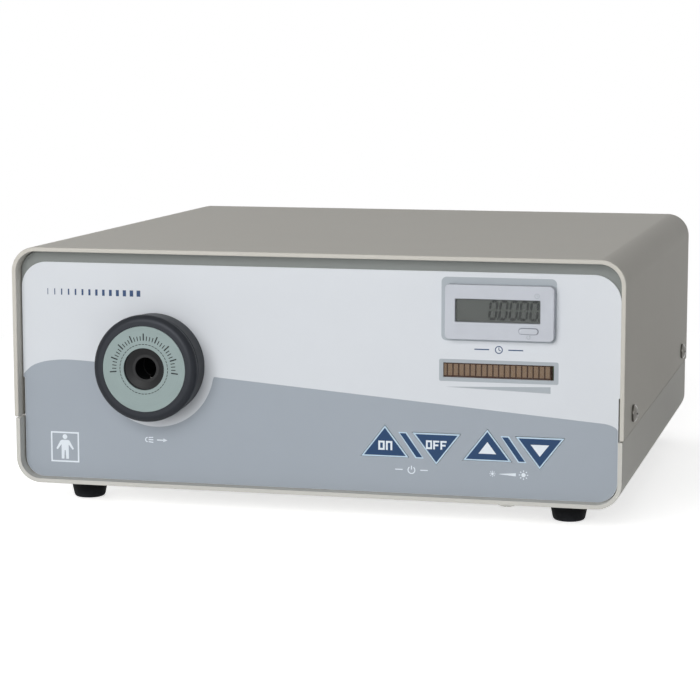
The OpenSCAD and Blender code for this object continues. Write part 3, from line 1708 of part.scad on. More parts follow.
module fuses() {
  color([0.8, 0.82, 0.8]) at_inlet()
    translate([cavity_dx, -drawer_dz, inlet_t - drawer_l])
      for (s = fuse_shares)
        translate([0, fuse_y, s * drawer_l]) rotate([0, 90, 0]) {
          cylinder(r = fuse_r * 0.92, h = fuse_l - fuse_cap, center = true);
          for (m = [0, 1]) mirror([0, 0, m])
            rise(fuse_l / 2 - fuse_cap) cylinder(r = fuse_r, h = fuse_cap);
        }
}

// Side view of the rocker round its pivot: a drum with a shallow V across its face
module rocker_profile() {
  intersection() {
    circle(rocker_r);
    polygon([[-rocker_r, -rocker_up], [rocker_r, -rocker_up], [rocker_r, rocker_up],
      [0, rocker_up - rocker_dip], [-rocker_r, rocker_up]]);
  }
}

module mains_rocker() {
  color(black) at_inlet()
    translate([-rocker_dx, 0, inlet_t - rocker_set]) rotate([rocker_throw / 2, 0, 0]) {
      rotate([90, 0, 90]) rise(-rocker_w / 2) linear_extrude(rocker_w) rocker_profile();
      rotate([0, 90, 0]) cylinder(r = pivot_r, h = rocker_w + 2 * pivot_l, center = true);
    }
}

// Pin for the potential equalisation lead, its hexagonal collar, and its nut inside the panel
module earth_terminal() {
  color(brass) in_shell() facing_back(earth_x, earth_z, rear_out) {
    hex(earth_flats, earth_collar_t);
    cylinder(r = earth_r, h = earth_reach - earth_r / 2);
    intersection() {
      rise(earth_reach - earth_r) sphere(earth_r);
      rise(earth_reach - earth_r / 2) cylinder(r = earth_r, h = earth_r / 2);
    }
    rise(-panel_t - hex_t - fit) cylinder(r = earth_r, h = panel_t + hex_t + fit);
    rise(-panel_t - hex_t) difference() {
      hex(earth_flats, hex_t);
      bore(earth_r + run, hex_t);
    }
  }
}

top_cover();
base_chassis();
cover_screws();
rubber_feet();
foot_screws();
front_panel();
front_overlay();
flange_bolt();
panel_screws();
key_on();
key_off();
key_up();
key_down();
control_board();
key_switches();
control_board_screws();
bar_graph_window();
bar_graph_housing();
bar_graph_segments();
counter_case();
counter_window();
counter_display();
counter_grip();
reset_button();
socket_collar();
ring_plate();
guide_sleeve();
sleeve_nut();
collar_screws();
detent_ball();
detent_spring();
detent_screw();
lens_tube();
relay_lens();
lens_spacer();
condenser_lens();
lens_ring();
optics_plate();
led_board();
led_emitter();
heat_sink();
optics_screws();
driver_board();
power_board();
transformer();
capacitors();
board_posts();
board_screws();
internal_wiring();
rear_panel();
fan_frame();
fan_rotor();
fan_guard();
fan_screws();
mains_inlet();
inlet_pins();
fuse_drawer();
fuses();
mains_rocker();
earth_terminal();
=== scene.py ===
# %% [markdown]
# # Dressing a cold light source
# The object is the box that feeds an endoscope with light. Its construction model is exact but
# bare: no solid has a finish, and every edge is as sharp as a razor. This lesson gives each piece
# its paint, print, metal or plastic, and breaks the edges that catch the light. The model stays
# where it is, and whatever is made here fits round it.

# %% Load the construction model
import json
import math

import bmesh
import bpy
from mathutils import Matrix, Vector


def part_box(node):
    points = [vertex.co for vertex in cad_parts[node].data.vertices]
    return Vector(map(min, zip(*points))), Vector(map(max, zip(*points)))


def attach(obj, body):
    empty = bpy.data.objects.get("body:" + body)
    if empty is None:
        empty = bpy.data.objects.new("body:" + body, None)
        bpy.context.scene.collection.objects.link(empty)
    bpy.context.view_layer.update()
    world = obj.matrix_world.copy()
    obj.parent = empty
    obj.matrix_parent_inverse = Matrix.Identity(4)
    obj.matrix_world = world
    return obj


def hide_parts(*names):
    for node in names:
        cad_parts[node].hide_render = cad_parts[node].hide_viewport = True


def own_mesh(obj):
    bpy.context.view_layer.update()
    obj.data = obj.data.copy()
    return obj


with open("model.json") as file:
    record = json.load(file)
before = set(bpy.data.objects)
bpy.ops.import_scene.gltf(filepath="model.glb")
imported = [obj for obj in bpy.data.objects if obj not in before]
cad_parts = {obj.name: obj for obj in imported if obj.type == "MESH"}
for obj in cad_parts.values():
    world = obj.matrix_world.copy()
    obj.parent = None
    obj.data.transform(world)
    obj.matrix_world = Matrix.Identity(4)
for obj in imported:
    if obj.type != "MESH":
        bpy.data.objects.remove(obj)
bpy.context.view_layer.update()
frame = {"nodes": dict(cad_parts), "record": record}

MM = 0.001
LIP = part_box("top_cover")[0].y / MM
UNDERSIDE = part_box("base_chassis")[0].z / MM
print(f"front lip at y = {LIP:.1f} mm, underside at z = {UNDERSIDE:.1f} mm")

# %% [markdown]
# ## Where things are
# A sheet-metal maker measures this box from its own shell: x from the middle, y back from the
# front lip, z up from the underside. The lesson does the same, in millimetres, and one function
# turns such a place into a point of the scene. Depths are read from the solids, so nothing printed
# can float off its panel.

# %% Shell measure and the depths of the faces
def place(x, y, z):
    """A point given in shell millimetres, as a point of the scene in metres."""
    return Vector((x, LIP + y, UNDERSIDE + z)) * MM


def corners(node):
    """The lowest and the highest corner of a solid in shell millimetres."""
    return [(c.x / MM, c.y / MM - LIP, c.z / MM - UNDERSIDE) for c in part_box(node)]


def depth(node, end=0):
    """How far a solid's front (end 0) or back (end 1) lies behind the lip."""
    return corners(node)[end][1]


def middle(node):
    """The middle of a solid, as x and z."""
    (x0, _, z0), (x1, _, z1) = corners(node)
    return (x0 + x1) / 2, (z0 + z1) / 2


OVERLAY = depth("front_overlay")
REAR = depth("rear_panel", 1)
SOCKET_X, SOCKET_Z = middle("ring_plate")
COUNTER_X, COUNTER_Z = middle("counter_case")
INLET_Z = middle("mains_inlet")[1]
FAN_X, FAN_Z = middle("fan_frame")
EARTH_X, EARTH_Z = middle("earth_terminal")
print(f"overlay {OVERLAY:.1f} mm behind the lip, rear face at {REAR:.1f} mm")

# %% [markdown]
# ## Camera
# The photograph was taken from a little to the right and above, with a long lens: the box's edges
# hardly converge. The place was solved from the corners of the shell, so that the picture can be
# laid over the photograph.

# %% The photograph's camera
CAMERA_PLACE = (260.05, -1097.53, 211.68)
CAMERA_TURN = (82.24, 0.04, 14.04)
CAMERA_LENS = 117.25
CAMERA_SENSOR = 36


def add(name, data):
    """Puts a new object in the scene."""
    thing = bpy.data.objects.new(name, data)
    bpy.context.scene.collection.objects.link(thing)
    return thing


camera_data = bpy.data.cameras.new("camera")
camera_data.lens = CAMERA_LENS
camera_data.sensor_width = CAMERA_SENSOR
camera = add("camera", camera_data)
camera.location = Vector(CAMERA_PLACE) * MM
camera.rotation_euler = [math.radians(angle) for angle in CAMERA_TURN]
bpy.context.scene.camera = camera
print(f"camera {camera.location.length:.2f} m from the middle of the ground")

# %% [markdown]
# ## A small language for finishes
# A graph built link by link is hard to read. So a socket is wrapped in a class that can add,
# subtract, multiply and raise to a power, and shader maths reads as maths. Everything else is one
# call that names a node, its settings and its inputs.

# %% Colours and shader arithmetic
def paint(red, green, blue):
    """A colour as a picker shows it, 0 to 255, in the linear form that a shader works with."""
    def linear(level):
        share = level / 255
        return share / 12.92 if share <= 0.04045 else ((share + 0.055) / 1.055) ** 2.4
    return linear(red), linear(green), linear(blue), 1.0


class Term:
    """The output of a node, with the arithmetic of a number."""

    def __init__(self, graph, socket):
        self.graph = graph
        self.socket = socket

    def maths(self, operation, first, second):
        return self.graph.node("ShaderNodeMath", {"operation": operation}, {0: first, 1: second})

    def __add__(self, other):
        return self.maths("ADD", self, other)

    def __sub__(self, other):
        return self.maths("SUBTRACT", self, other)

    def __rsub__(self, other):
        return self.maths("SUBTRACT", other, self)

    def __mul__(self, other):
        return self.maths("MULTIPLY", self, other)

    def __pow__(self, other):
        return self.maths("POWER", self, other)

    __radd__ = __add__
    __rmul__ = __mul__


print("a picker's 128 is", round(paint(128, 128, 128)[0], 3), "in linear light")

# %% Trees of nodes
class Graph:
    """A tree of nodes, to which one call adds a node."""

    def __init__(self, tree):
        self.tree = tree

    def node(self, kind, settings=None, inputs=None, output=0):
        """Adds a node with its settings first, then its inputs, and hands back one output."""
        new = self.tree.nodes.new(kind)
        for key, value in (settings or {}).items():
            setattr(new, key, value)
        for key, value in (inputs or {}).items():
            if isinstance(value, Term):
                self.tree.links.new(value.socket, new.inputs[key])
            else:
                new.inputs[key].default_value = value
        return Term(self, new.outputs[output])

    def end(self, value, name):
        """Links a value to the first input of a node that the tree had from the start."""
        self.tree.links.new(value.socket, self.tree.nodes[name].inputs[0])


print("graph class ready")

# %% [markdown]
# ## A finish under construction
# Each finish starts from plain values, set on the shader itself. Only what changes over the
# surface is built from nodes, and it feeds colour, roughness or bump. Patterns are measured in
# millimetres, so a grain has its real size on a large panel and on a small screw alike.

# %% The finish class
class Look(Graph):
    """A material: plain values on the shader, patterns in object millimetres."""

    def __init__(self, name, rgb, roughness, metallic=0.0, coat=0.0, alpha=1.0, gloss=0.5):
        self.material = bpy.data.materials.new(name)
        self.material.use_nodes = True
        super().__init__(self.material.node_tree)
        self.shader = self.tree.nodes["Principled BSDF"]
        self.colour = paint(*rgb)
        plain = {"Base Color": self.colour, "Roughness": roughness, "Metallic": metallic,
                 "Coat Weight": coat, "Alpha": alpha, "Specular IOR Level": gloss}
        for socket, value in plain.items():
            self.shader.inputs[socket].default_value = value
        where = self.node("ShaderNodeTexCoord", output="Object")
        self.spot = self.node("ShaderNodeVectorMath", {"operation": "SCALE"},
                              {0: where, 3: 1 / MM})

    def feed(self, socket, value):
        """Links what varies over the surface to the shader."""
        self.tree.links.new(value.socket, self.shader.inputs[socket])
        return self

    def noise(self, size, detail=2.0, stretch=(1, 1, 1)):
        """Soft noise from 0 to 1 whose lumps are about size millimetres across."""
        scale = tuple(1 / (size * share) for share in stretch)
        at = self.node("ShaderNodeVectorMath", {"operation": "MULTIPLY"}, {0: self.spot, 1: scale})
        return self.node("ShaderNodeTexNoise", None,
                         {"Vector": at, "Scale": 1.0, "Detail": detail})

    def blend(self, factor, first, second):
        """Colour first where factor is 0, second where it is 1."""
        return self.node("ShaderNodeMix", {"data_type": "RGBA"}, {0: factor, 6: first, 7: second},
                         output=2)

    def clamp(self, value, low, high):
        """Spreads the stretch from low to high over 0 to 1 and holds it there."""
        return self.node("ShaderNodeMapRange", {"clamp": True},
                         {"Value": value, "From Min": low, "From Max": high})

    def shade(self, factor, down, up):
        """The finish's own colour, darker where factor is 0 and lighter where it is 1."""
        dark, light = [tuple(min(1, c * k) for c in self.colour[:3]) + (1.0,) for k in (down, up)]
        return self.blend(factor, dark, light)

    def bump(self, height, millimetres):
        """Raises the surface by up to that many millimetres."""
        return self.feed("Normal", self.node("ShaderNodeBump", None, {
            "Strength": 1.0, "Distance": millimetres * MM, "Height": height}))

    def layers(self, colour, roughness, height, millimetres):
        """Colour, roughness and bump in one call."""
        return self.feed("Base Color", colour).feed("Roughness", roughness).bump(height, millimetres)

    def axis(self, name):
        """The coordinate X, Y or Z in millimetres."""
        return self.node("ShaderNodeSeparateXYZ", None, {0: self.spot}, name)


print("finish class ready")

# %% [markdown]
# ## Paint, plastic and print
# Powder coat dries to a fine orange peel, its shade drifts over a large panel, and handling
# polishes it unevenly. Moulded plastic takes the spark-eroded grain of its mould. A printed film
# has a velvet of its own, and its inks lie on it in thin even coats. So each recipe layers two or
# three noises of different sizes.

# %% Recipes for painted, moulded and printed surfaces
PEEL, SPECK, CLOUD = 1.3, 0.5, 70  # lumps of powder coat, in millimetres
FLOW = 14  # clouds in moulded plastic
VELVET, INK_CLOUD = 0.25, 45  # grain of a film, and drift of its ink
PEEL_RISE, VELVET_RISE = 0.035, 0.006  # how far they stand up


def powder_coat(name, rgb, roughness=0.55):
    look = Look(name, rgb, roughness, gloss=0.12)
    peel = look.noise(PEEL, 3)
    cloud = look.noise(CLOUD, 4)
    speck = look.clamp(look.noise(SPECK, 1), 0.62, 0.78)
    return look.layers(look.shade(cloud * 0.8 + speck * 0.2, 0.94, 1.05),
                       peel * 0.12 + cloud * 0.08 + (roughness - 0.1), peel, PEEL_RISE)


def moulded(name, rgb, roughness=0.45, grain=0.35, rise=0.02):
    look = Look(name, rgb, roughness, gloss=0.3)
    spark = look.noise(grain, 2)
    flow = look.noise(FLOW, 3)
    return look.layers(look.shade(flow, 0.9, 1.1),
                       spark * 0.1 + flow * 0.12 + (roughness - 0.11), spark, rise)


def printed(name, rgb, roughness=0.5):
    look = Look(name, rgb, roughness, gloss=0.25)
    velvet = look.noise(VELVET, 2)
    drift = look.noise(INK_CLOUD, 3)
    return look.layers(look.shade(drift, 0.975, 1.02),
                       velvet * 0.08 + drift * 0.06 + (roughness - 0.07), velvet, VELVET_RISE)


print("orange peel", PEEL, "mm across, velvet", VELVET)

# %% Painted, moulded and printed finishes
LOOKS = {
    "cover": powder_coat("cover_powder_coat", (204, 201, 193)),
    "chassis": powder_coat("chassis_powder_coat", (205, 204, 198)),
    "panel": powder_coat("panel_powder_coat", (136, 140, 138)),
    "overlay": printed("overlay_film", (215, 219, 224)),
    "wave": printed("overlay_grey_ink", (160, 168, 177)),
    "navy": printed("key_navy_ink", (30, 62, 100)),
    "key_edge": printed("key_pale_edge", (192, 214, 230)),
    "white_ink": printed("white_ink", (226, 233, 240)),
    "blue_ink": printed("label_blue_ink", (56, 78, 114)),
    "grey_ink": printed("label_grey_ink", (170, 177, 183)),
    "black_ink": printed("plate_black_ink", (34, 40, 44)),
    "bezel": moulded("counter_bezel_plastic", (191, 195, 203), 0.42),
    "black_plastic": moulded("black_plastic", (34, 35, 38), 0.46),
    "inlet": moulded("inlet_plastic", (28, 28, 31), 0.36, 0.5, 0.012),
    "capacitor": moulded("capacitor_sleeve", (30, 38, 78), 0.3),
    "insulation": moulded("wire_insulation", (120, 32, 30), 0.4),
    "ceramic": moulded("fuse_ceramic", (226, 226, 220), 0.25),
    "core": moulded("transformer_varnish", (60, 52, 44), 0.35, 0.6, 0.05),
    "emitter": moulded("emitter_phosphor", (238, 214, 96), 0.3),
}
print(len(LOOKS), "finishes so far")

# %% [markdown]
# ## Metal, rubber and clear windows
# Zinc shows cloudy crystals, a milled plate shows lines along the cutter's way, and a turned part
# shows rings round its own axis, so the turned finish runs a noise along the distance from that
# axis. Rubber is matt, and dust greys its lower edge. A window is left clear by its alpha, with a
# hard coat that still shines.

# %% Recipes for metals, rubber, circuit boards and windows
LINES, STAIN = 0.5, 12  # lines and stains of milled metal, in millimetres
RINGS_PER_MM, TURNED_CLOUD = 2.2, 9
GRIT, RUBBER_SHEEN, DUST, RUBBER_RISE = 0.5, 0.6, 2.5, 0.03
WEAVE, TRACK = 0.8, 4
WIPE = 6
DUST_GREY, TRACK_GREEN = (50, 52, 56), (30, 118, 66)


def plated(name, rgb, roughness=0.32, size=1.6):
    look = Look(name, rgb, roughness, 1.0)
    crystal = look.noise(size, 4)
    return look.layers(look.shade(crystal, 0.86, 1.08),
                       crystal * 0.2 + (roughness - 0.1), crystal, 0.008)


def milled(name, rgb, roughness=0.34):
    look = Look(name, rgb, roughness, 1.0)
    lines = look.noise(LINES, 3, (30, 30, 0.4))
    stain = look.noise(STAIN, 3)
    return look.layers(look.shade(stain, 0.92, 1.05),
                       lines * 0.16 + stain * 0.06 + (roughness - 0.1), lines, 0.01)


def turned_metal(name, rgb, roughness, metallic, rise=0.012):
    """For a part turned round the socket's axis."""
    look = Look(name, rgb, roughness, metallic, gloss=0.3)
    x, y, z = [look.axis(way) for way in "XYZ"]
    radius = ((x - SOCKET_X) ** 2.0 + (z - (SOCKET_Z + UNDERSIDE)) ** 2.0) ** 0.5
    along = look.node("ShaderNodeCombineXYZ", None, {0: radius * RINGS_PER_MM, 1: y * RINGS_PER_MM})
    rings = look.node("ShaderNodeTexNoise", None, {"Vector": along, "Scale": 1.0, "Detail": 3.0})
    cloud = look.noise(TURNED_CLOUD, 3)
    return look.layers(look.shade(cloud * 0.6 + rings * 0.4, 0.86, 1.14),
                       rings * 0.12 + cloud * 0.1 + (roughness - 0.11), rings, rise)


def rubber(name, rgb):
    look = Look(name, rgb, 0.75, gloss=0.1)
    dust = look.clamp(look.axis("Z"), UNDERSIDE * 0.5, 0) * look.noise(DUST, 3)
    return look.layers(look.blend(dust, look.colour, paint(*DUST_GREY)),
                       look.noise(RUBBER_SHEEN, 2) * 0.2 + 0.6, look.noise(GRIT, 2), RUBBER_RISE)


def solder_mask(name, rgb):
    look = Look(name, rgb, 0.35)
    weave = look.noise(WEAVE, 1, (1, 6, 1)) * 0.5 + look.noise(WEAVE, 1, (6, 1, 1)) * 0.5
    track = look.clamp(look.noise(TRACK, 0, (6, 1, 1)), 0.52, 0.56)
    return look.layers(look.blend(track, look.colour, paint(*TRACK_GREEN)),
                       weave * 0.15 + 0.28, track + weave * 0.3, 0.03)


def window(name, rgb, alpha):
    look = Look(name, rgb, 0.06, coat=0.6, alpha=alpha)
    wipe = look.noise(WIPE, 3, (3, 1, 1))
    look.feed("Roughness", wipe * 0.05 + 0.03)
    return look.bump(wipe, 0.002)


print("recipes ready")

# %% Finishes of metal, rubber and glass
LOOKS.update({
    "zinc": plated("zinc_plate", (178, 178, 172)),
    "nickel": plated("nickel_plate", (118, 116, 112), 0.16, 4),
    "dark_steel": plated("dark_steel", (96, 96, 98), 0.4),
    "ball": plated("ball_steel", (222, 222, 220), 0.14, 3),
    "brass": plated("nickel_brass", (200, 196, 184), 0.28),
    "guard": plated("chrome_wire", (206, 208, 210), 0.2, 4),
    "aluminium": milled("milled_aluminium", (196, 198, 200)),
    "collar": turned_metal("collar_black_anodised", (34, 37, 43), 0.42, 0.35),
    "sleeve": turned_metal("sleeve_black", (12, 13, 15), 0.45, 0.0),
    "plate": turned_metal("ring_plate_anodised", (140, 155, 154), 0.5, 0.12, 0.003),
    "tube": turned_metal("tube_black_anodised", (30, 31, 34), 0.5, 0.4),
    "rubber": rubber("black_rubber", (6, 7, 9)),
    "board": solder_mask("solder_mask", (16, 84, 48)),
    "amber": window("amber_window", (96, 66, 46), 0.12),
    "clear": window("clear_window", (130, 134, 132), 0.06),
    "lens": window("lens_glass", (190, 205, 220), 0.25),
    "display": moulded("display_glass", (78, 82, 79), 0.4, 0.2, 0.002),
    "digit": printed("display_segment", (24, 28, 28)),
    "ghost": printed("display_faint_segment", (74, 78, 74)),
    "array": moulded("array_housing", (54, 32, 22), 0.5),
    "segment": moulded("array_segment", (146, 124, 100), 0.5, 0.3, 0.01),
})
print(len(LOOKS), "finishes in all")

# %% [markdown]
# ## Dressing the solids
# Most solids already have the right shape. What they lack is a finish and softened edges: a real
# edge is broken by punch, mould or emery, and that thin bevel is what the eye reads as thickness.
# A hidden solid just gets its finish. One that shows is copied, its flat faces are joined, and the
# sharp edges of the copy are bevelled.

# %% Shading of flat and round faces
ALIKE = math.cos(math.radians(32))  # faces that turn by less than this are shaded as one


def soften_shading(mesh):
    """Smooth shading that keeps a broad face flat: at a corner, the faces that are
    alike share one direction, and the larger a face, the more its own direction counts."""
    around = [[] for _ in mesh.vertices]
    for face in mesh.polygons:
        for corner in face.vertices:
            around[corner].append(face)
    directions = []
    for face in mesh.polygons:
        for corner in face.vertices:
            kin = [near for near in around[corner] if near.normal.dot(face.normal) > ALIKE]
            directions.append(sum((near.normal * near.area for near in kin), Vector()).normalized())
    mesh.polygons.foreach_set("use_smooth", [True] * len(mesh.polygons))
    mesh.normals_split_custom_set(directions)
    mesh.update()


def mesh_of(work, name, move=Matrix.Identity(4)):
    """The worked shape as a mesh, moved and shaded."""
    mesh = bpy.data.meshes.new(name)
    work.to_mesh(mesh)
    work.free()
    mesh.transform(move)
    soften_shading(mesh)
    return mesh


print("faces within", round(math.degrees(math.acos(ALIKE))), "degrees are shaded as one")

# %% Finishing helpers
BODY_OF = {node: body for body, nodes in frame["record"]["behaviour"]["bodies"].items()
           for node in nodes}
SHARP = math.radians(40)  # edges that turn by more than this are broken
TINY = 0.0005 * MM  # points of a solid that lie closer than this are one point


def wear(mesh, look):
    """Gives a mesh its finish."""
    mesh.materials.clear()
    mesh.materials.append(LOOKS[look].material)


def settle(name, mesh, look, node, stands=True):
    """Puts a mesh in the scene as a piece on a solid's body. It stands in for the solid or is
    only an addition to it."""
    wear(mesh, look)
    piece = add(name, mesh)
    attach(piece, BODY_OF[node])
    if stands:
        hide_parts(node)
    return piece


def coat(look, *nodes):
    """Gives solids their finish and leaves their shape alone."""
    for node in nodes:
        wear(frame["nodes"][node].data, look)


def dress(node, look, edge):
    """Stands a copy with broken edges, edge millimetres wide, in for a solid."""
    work = bmesh.new()
    work.from_mesh(frame["nodes"][node].data)
    bmesh.ops.remove_doubles(work, verts=work.verts, dist=TINY)
    bmesh.ops.dissolve_limit(work, angle_limit=math.radians(0.5), verts=work.verts,
                             edges=work.edges, delimit=set())
    sharp = [e for e in work.edges if e.is_manifold and e.calc_face_angle() > SHARP]
    bmesh.ops.bevel(work, geom=sharp, offset=edge * MM, offset_type="OFFSET", segments=2,
                    profile=0.5, affect="EDGES", clamp_overlap=False)
    name = f"{node}_finished"
    return settle(name, mesh_of(work, name), look, node)


print("finishing helpers ready")

# %% Solids that only need a finish
coat("zinc", "foot_screws", "panel_screws", "control_board_screws", "collar_screws",
     "optics_screws", "board_screws", "sleeve_nut")
coat("dark_steel", "detent_screw")
coat("board", "control_board", "driver_board", "power_board")
coat("black_plastic", "key_switches", "counter_grip")
coat("tube", "lens_tube", "lens_spacer", "lens_ring")
coat("lens", "relay_lens", "condenser_lens")
coat("aluminium", "optics_plate", "led_board", "heat_sink")
coat("emitter", "led_emitter")
coat("core", "transformer")
coat("capacitor", "capacitors")
coat("brass", "board_posts", "inlet_pins")
coat("insulation", "internal_wiring")
coat("ceramic", "fuses")
coat("array", "bar_graph_housing")
coat("segment", "bar_graph_segments")
coat("display", "counter_display")
print("inner solids finished")

# %% [markdown]
# ## The spring that shortens
# The detent's spring stands between its set screw and the ball. A plug that goes in pushes the ball
# down and shortens the spring. A stiff copy would cut into the screw. This copy is stiff all the
# same: it sits on the spring's body with a mesh of its own, and the share of its length left at the
# ball's full travel is worked out but not applied.

# %% Detent spring
low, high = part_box("detent_spring")
dip = next(j for j in frame["record"]["behaviour"]["joints"] if j["name"] == "detent_dip")
coil = frame["nodes"]["detent_spring"].data.copy()
coil.name = "detent_spring_finished"
spring = settle(coil.name, coil, "dark_steel", "detent_spring")
1 - dip["range_m"][1] / (high.z - low.z)
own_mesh(spring)
print(f"the spring is {(high.z - low.z) / MM:.1f} mm long at rest")

# %% [markdown]
# ## Solids that show
# Chassis, panels, screws and fan keep their solids' shapes and get broken edges. The chassis needs
# one more step: the square tabs that carry the rear panel have a corner that would show outside
# the shell's round bend, so that corner is drawn back into the sheet.

# %% Solids with broken edges
EDGES = {  # look, and width of the broken edge in millimetres
    "base_chassis": ("chassis", 0.3), "front_panel": ("panel", 0.2), "rear_panel": ("cover", 0.2),
    "cover_screws": ("nickel", 0.12), "flange_bolt": ("zinc", 0.12), "fan_screws": ("zinc", 0.12),
    "fan_frame": ("black_plastic", 0.3), "fan_rotor": ("black_plastic", 0.3),
    "mains_inlet": ("inlet", 0.25), "fuse_drawer": ("inlet", 0.25), "earth_terminal": ("brass", 0.15),
}
dressed = {node: dress(node, *finish) for node, finish in EDGES.items()}
print(len(dressed), "solids with broken edges")

# %% Tab corners drawn back into the sheet
(_, _, SEAM_TOP), (SHELL_HALF, SHELL_D, SHELL_H) = corners("top_cover")
BEND = 11.4
TUCK = 0.6
SLACK = 0.02


def tuck(mesh):
    """Draws what stands out of the shell's lower bends back, to TUCK inside the face."""
    centre = SHELL_HALF - BEND
    for vertex in mesh.vertices:
        out = vertex.co.x / MM
        side = math.copysign(centre, out)
        reach = Vector((out - side, vertex.co.z / MM - UNDERSIDE - BEND))
        if abs(out) > centre and reach.y < 0 and reach.length > BEND + SLACK:
            reach = reach.normalized() * (BEND - TUCK)
            vertex.co.x, vertex.co.z = (side + reach.x) * MM, (reach.y + BEND + UNDERSIDE) * MM
    soften_shading(mesh)


tuck(dressed["base_chassis"].data)
print("outer solids finished")

# %% [markdown]
# ## Outlines
# Nearly everything on the front is flat: film, print, keys, windows. Such a piece is an outline
# with some thickness, so the lesson draws outlines as points in shell millimetres and lets a
# filled curve make the piece. A curve also rounds the rim, which no extruded polygon does.

# %% Outline helpers
def arc(x, z, radius, start, end, steps=24):
    """Points along an arc, from one angle to the other, in degrees."""
    angles = [math.radians(start + (end - start) * i / steps) for i in range(steps + 1)]
    return [(x + radius * math.cos(a), z + radius * math.sin(a)) for a in angles]


def disc(x, z, radius, steps=96):
    """A circle as points."""
    return [(x + radius * math.cos(2 * math.pi * i / steps),
             z + radius * math.sin(2 * math.pi * i / steps)) for i in range(steps)]


def box(x0, z0, x1, z1, radius=0.0):
    """A rectangle, its corners rounded if a radius is given."""
    if not radius:
        return [(x0, z0), (x1, z0), (x1, z1), (x0, z1)]
    turns = [(x1 - radius, z0 + radius, -90), (x1 - radius, z1 - radius, 0),
             (x0 + radius, z1 - radius, 90), (x0 + radius, z0 + radius, 180)]
    return sum((arc(x, z, radius, angle, angle + 90, 8) for x, z, angle in turns), [])


def span(x, z, width, height, radius=0.0):
    """The same, about its middle."""
    return box(x - width / 2, z - height / 2, x + width / 2, z + height / 2, radius)


def stroke(points, width):
    """The outline of a pen line of that width along the points, with square ends."""
    left, right = [], []
    for i, point in enumerate(points):
        before = Vector(points[max(i - 1, 0)])
        after = Vector(points[min(i + 1, len(points) - 1)])
        here = Vector(point)
        way_in = (here - before).normalized() if i else (after - here).normalized()
        way_out = (after - here).normalized() if i < len(points) - 1 else way_in
        normal = Vector((-way_in.y - way_out.y, way_in.x + way_out.x)).normalized()
        reach = width / 2 / max(0.3, normal.dot(Vector((-way_in.y, way_in.x))))
        left.append(tuple(here + normal * reach))
        right.append(tuple(here - normal * reach))
    return left + right[::-1]


def loop_stroke(points, width):
    """A closed pen line: its outer and its inner outline."""
    ring = stroke(points[-1:] + points + points[:1], width)
    half = len(points) + 2
    return [ring[1:half - 1], ring[half + 1:-1]]


print("a rounded square has", len(span(0, 0, 10, 10, 2)), "points")

# %% [markdown]
# ## From outline to piece
# The filled curve is made flat, turned upright and pushed to its depth behind the lip. It ends as
# a plain mesh with its doubled points joined. Each group of outlines is filled by itself: within a
# group, an outline inside another is a hole.

# %% From curve to mesh
WELD = 0.001 * MM  # points of a made mesh that lie closer than this are one point


def draw(curve, points, closed=True):
    """Adds one line of points, in metres, to a curve."""
    spline = curve.splines.new("POLY")
    spline.points.add(len(points) - 1)
    for knot, point in zip(spline.points, points):
        knot.co = (*point, 1)
    spline.use_cyclic_u = closed


def curve_mesh(curve):
    """What the curve looks like, as a mesh. The curve itself goes."""
    holder = add(curve.name, curve)
    graph = bpy.context.evaluated_depsgraph_get()
    mesh = bpy.data.meshes.new_from_object(holder.evaluated_get(graph))
    bpy.data.objects.remove(holder)
    bpy.data.curves.remove(curve)
    return mesh


def fill(work, groups, thick, edge=0.0, steps=2):
    """Adds groups of outlines to the work, lying flat round z = 0, with their rims rounded."""
    for loops in groups:
        curve = bpy.data.curves.new("outline", "CURVE")
        curve.dimensions = "2D"
        curve.fill_mode = "BOTH"
        curve.extrude = (thick / 2 - edge) * MM
        curve.bevel_depth = edge * MM
        curve.bevel_resolution = steps
        curve.offset = -edge * MM
        for loop in loops:
            draw(curve, [(u * MM, v * MM, 0) for u, v in loop])
        mesh = curve_mesh(curve)
        work.from_mesh(mesh)
        bpy.data.meshes.remove(mesh)


print("a curve becomes a mesh")

# %% Cutting sheets and printing marks
INK = 0.04
INK_THICK = 0.9 * INK
UPRIGHT = Matrix.Rotation(math.pi / 2, 4, "X")


def cut_sheet(name, groups, thick, look, node, edge=0.0, steps=2, y=None):
    """Groups of outlines, cut from a sheet. It stands in for a solid, or it is an addition whose
    front face is y millimetres behind the lip."""
    face = depth(node) if y is None else y
    work = bmesh.new()
    fill(work, groups, thick, edge, steps)
    bmesh.ops.remove_doubles(work, verts=work.verts, dist=WELD)
    bmesh.ops.recalc_face_normals(work, faces=work.faces)
    mesh = mesh_of(work, name, Matrix.Translation(place(0, face + thick / 2, 0)) @ UPRIGHT)
    settle(name, mesh, look, node, y is None)


def marks(name, groups, look, node="front_overlay", under=0, face=None):
    """Print on a solid's front, or on a face at that depth: groups of outlines as a coat of ink,
    a hair above the face or above the coats that are under it."""
    face = depth(node) if face is None else face
    cut_sheet(name, groups, INK_THICK, look, node, y=face - under * INK - INK)


print(f"ink lies {INK} mm above its face")

# %% [markdown]
# ## The cover
# The cover is one bent sheet, open below, in front and behind. Its section is the whole story: two
# long bends and a lip that ends at the seam. It is drawn with fine arcs and given the depth of the
# shell, so that the bends stay round even where the light rakes along them.

# %% Bent cover
SHEET = 2.0
RIM = 0.75
LIP_EDGE = 0.45


def bends(half, top, radius):
    """The two bends of one face of the sheet."""
    return (arc(-half + radius, top - radius, radius, 180, 90, 20)
            + arc(half - radius, top - radius, radius, 90, 0, 20))


def rim(x, start, end):
    """The rounded lower edge of the outer face, which draws the seam along the sides."""
    return arc(x, SEAM_TOP + RIM, RIM, start, end, 4)


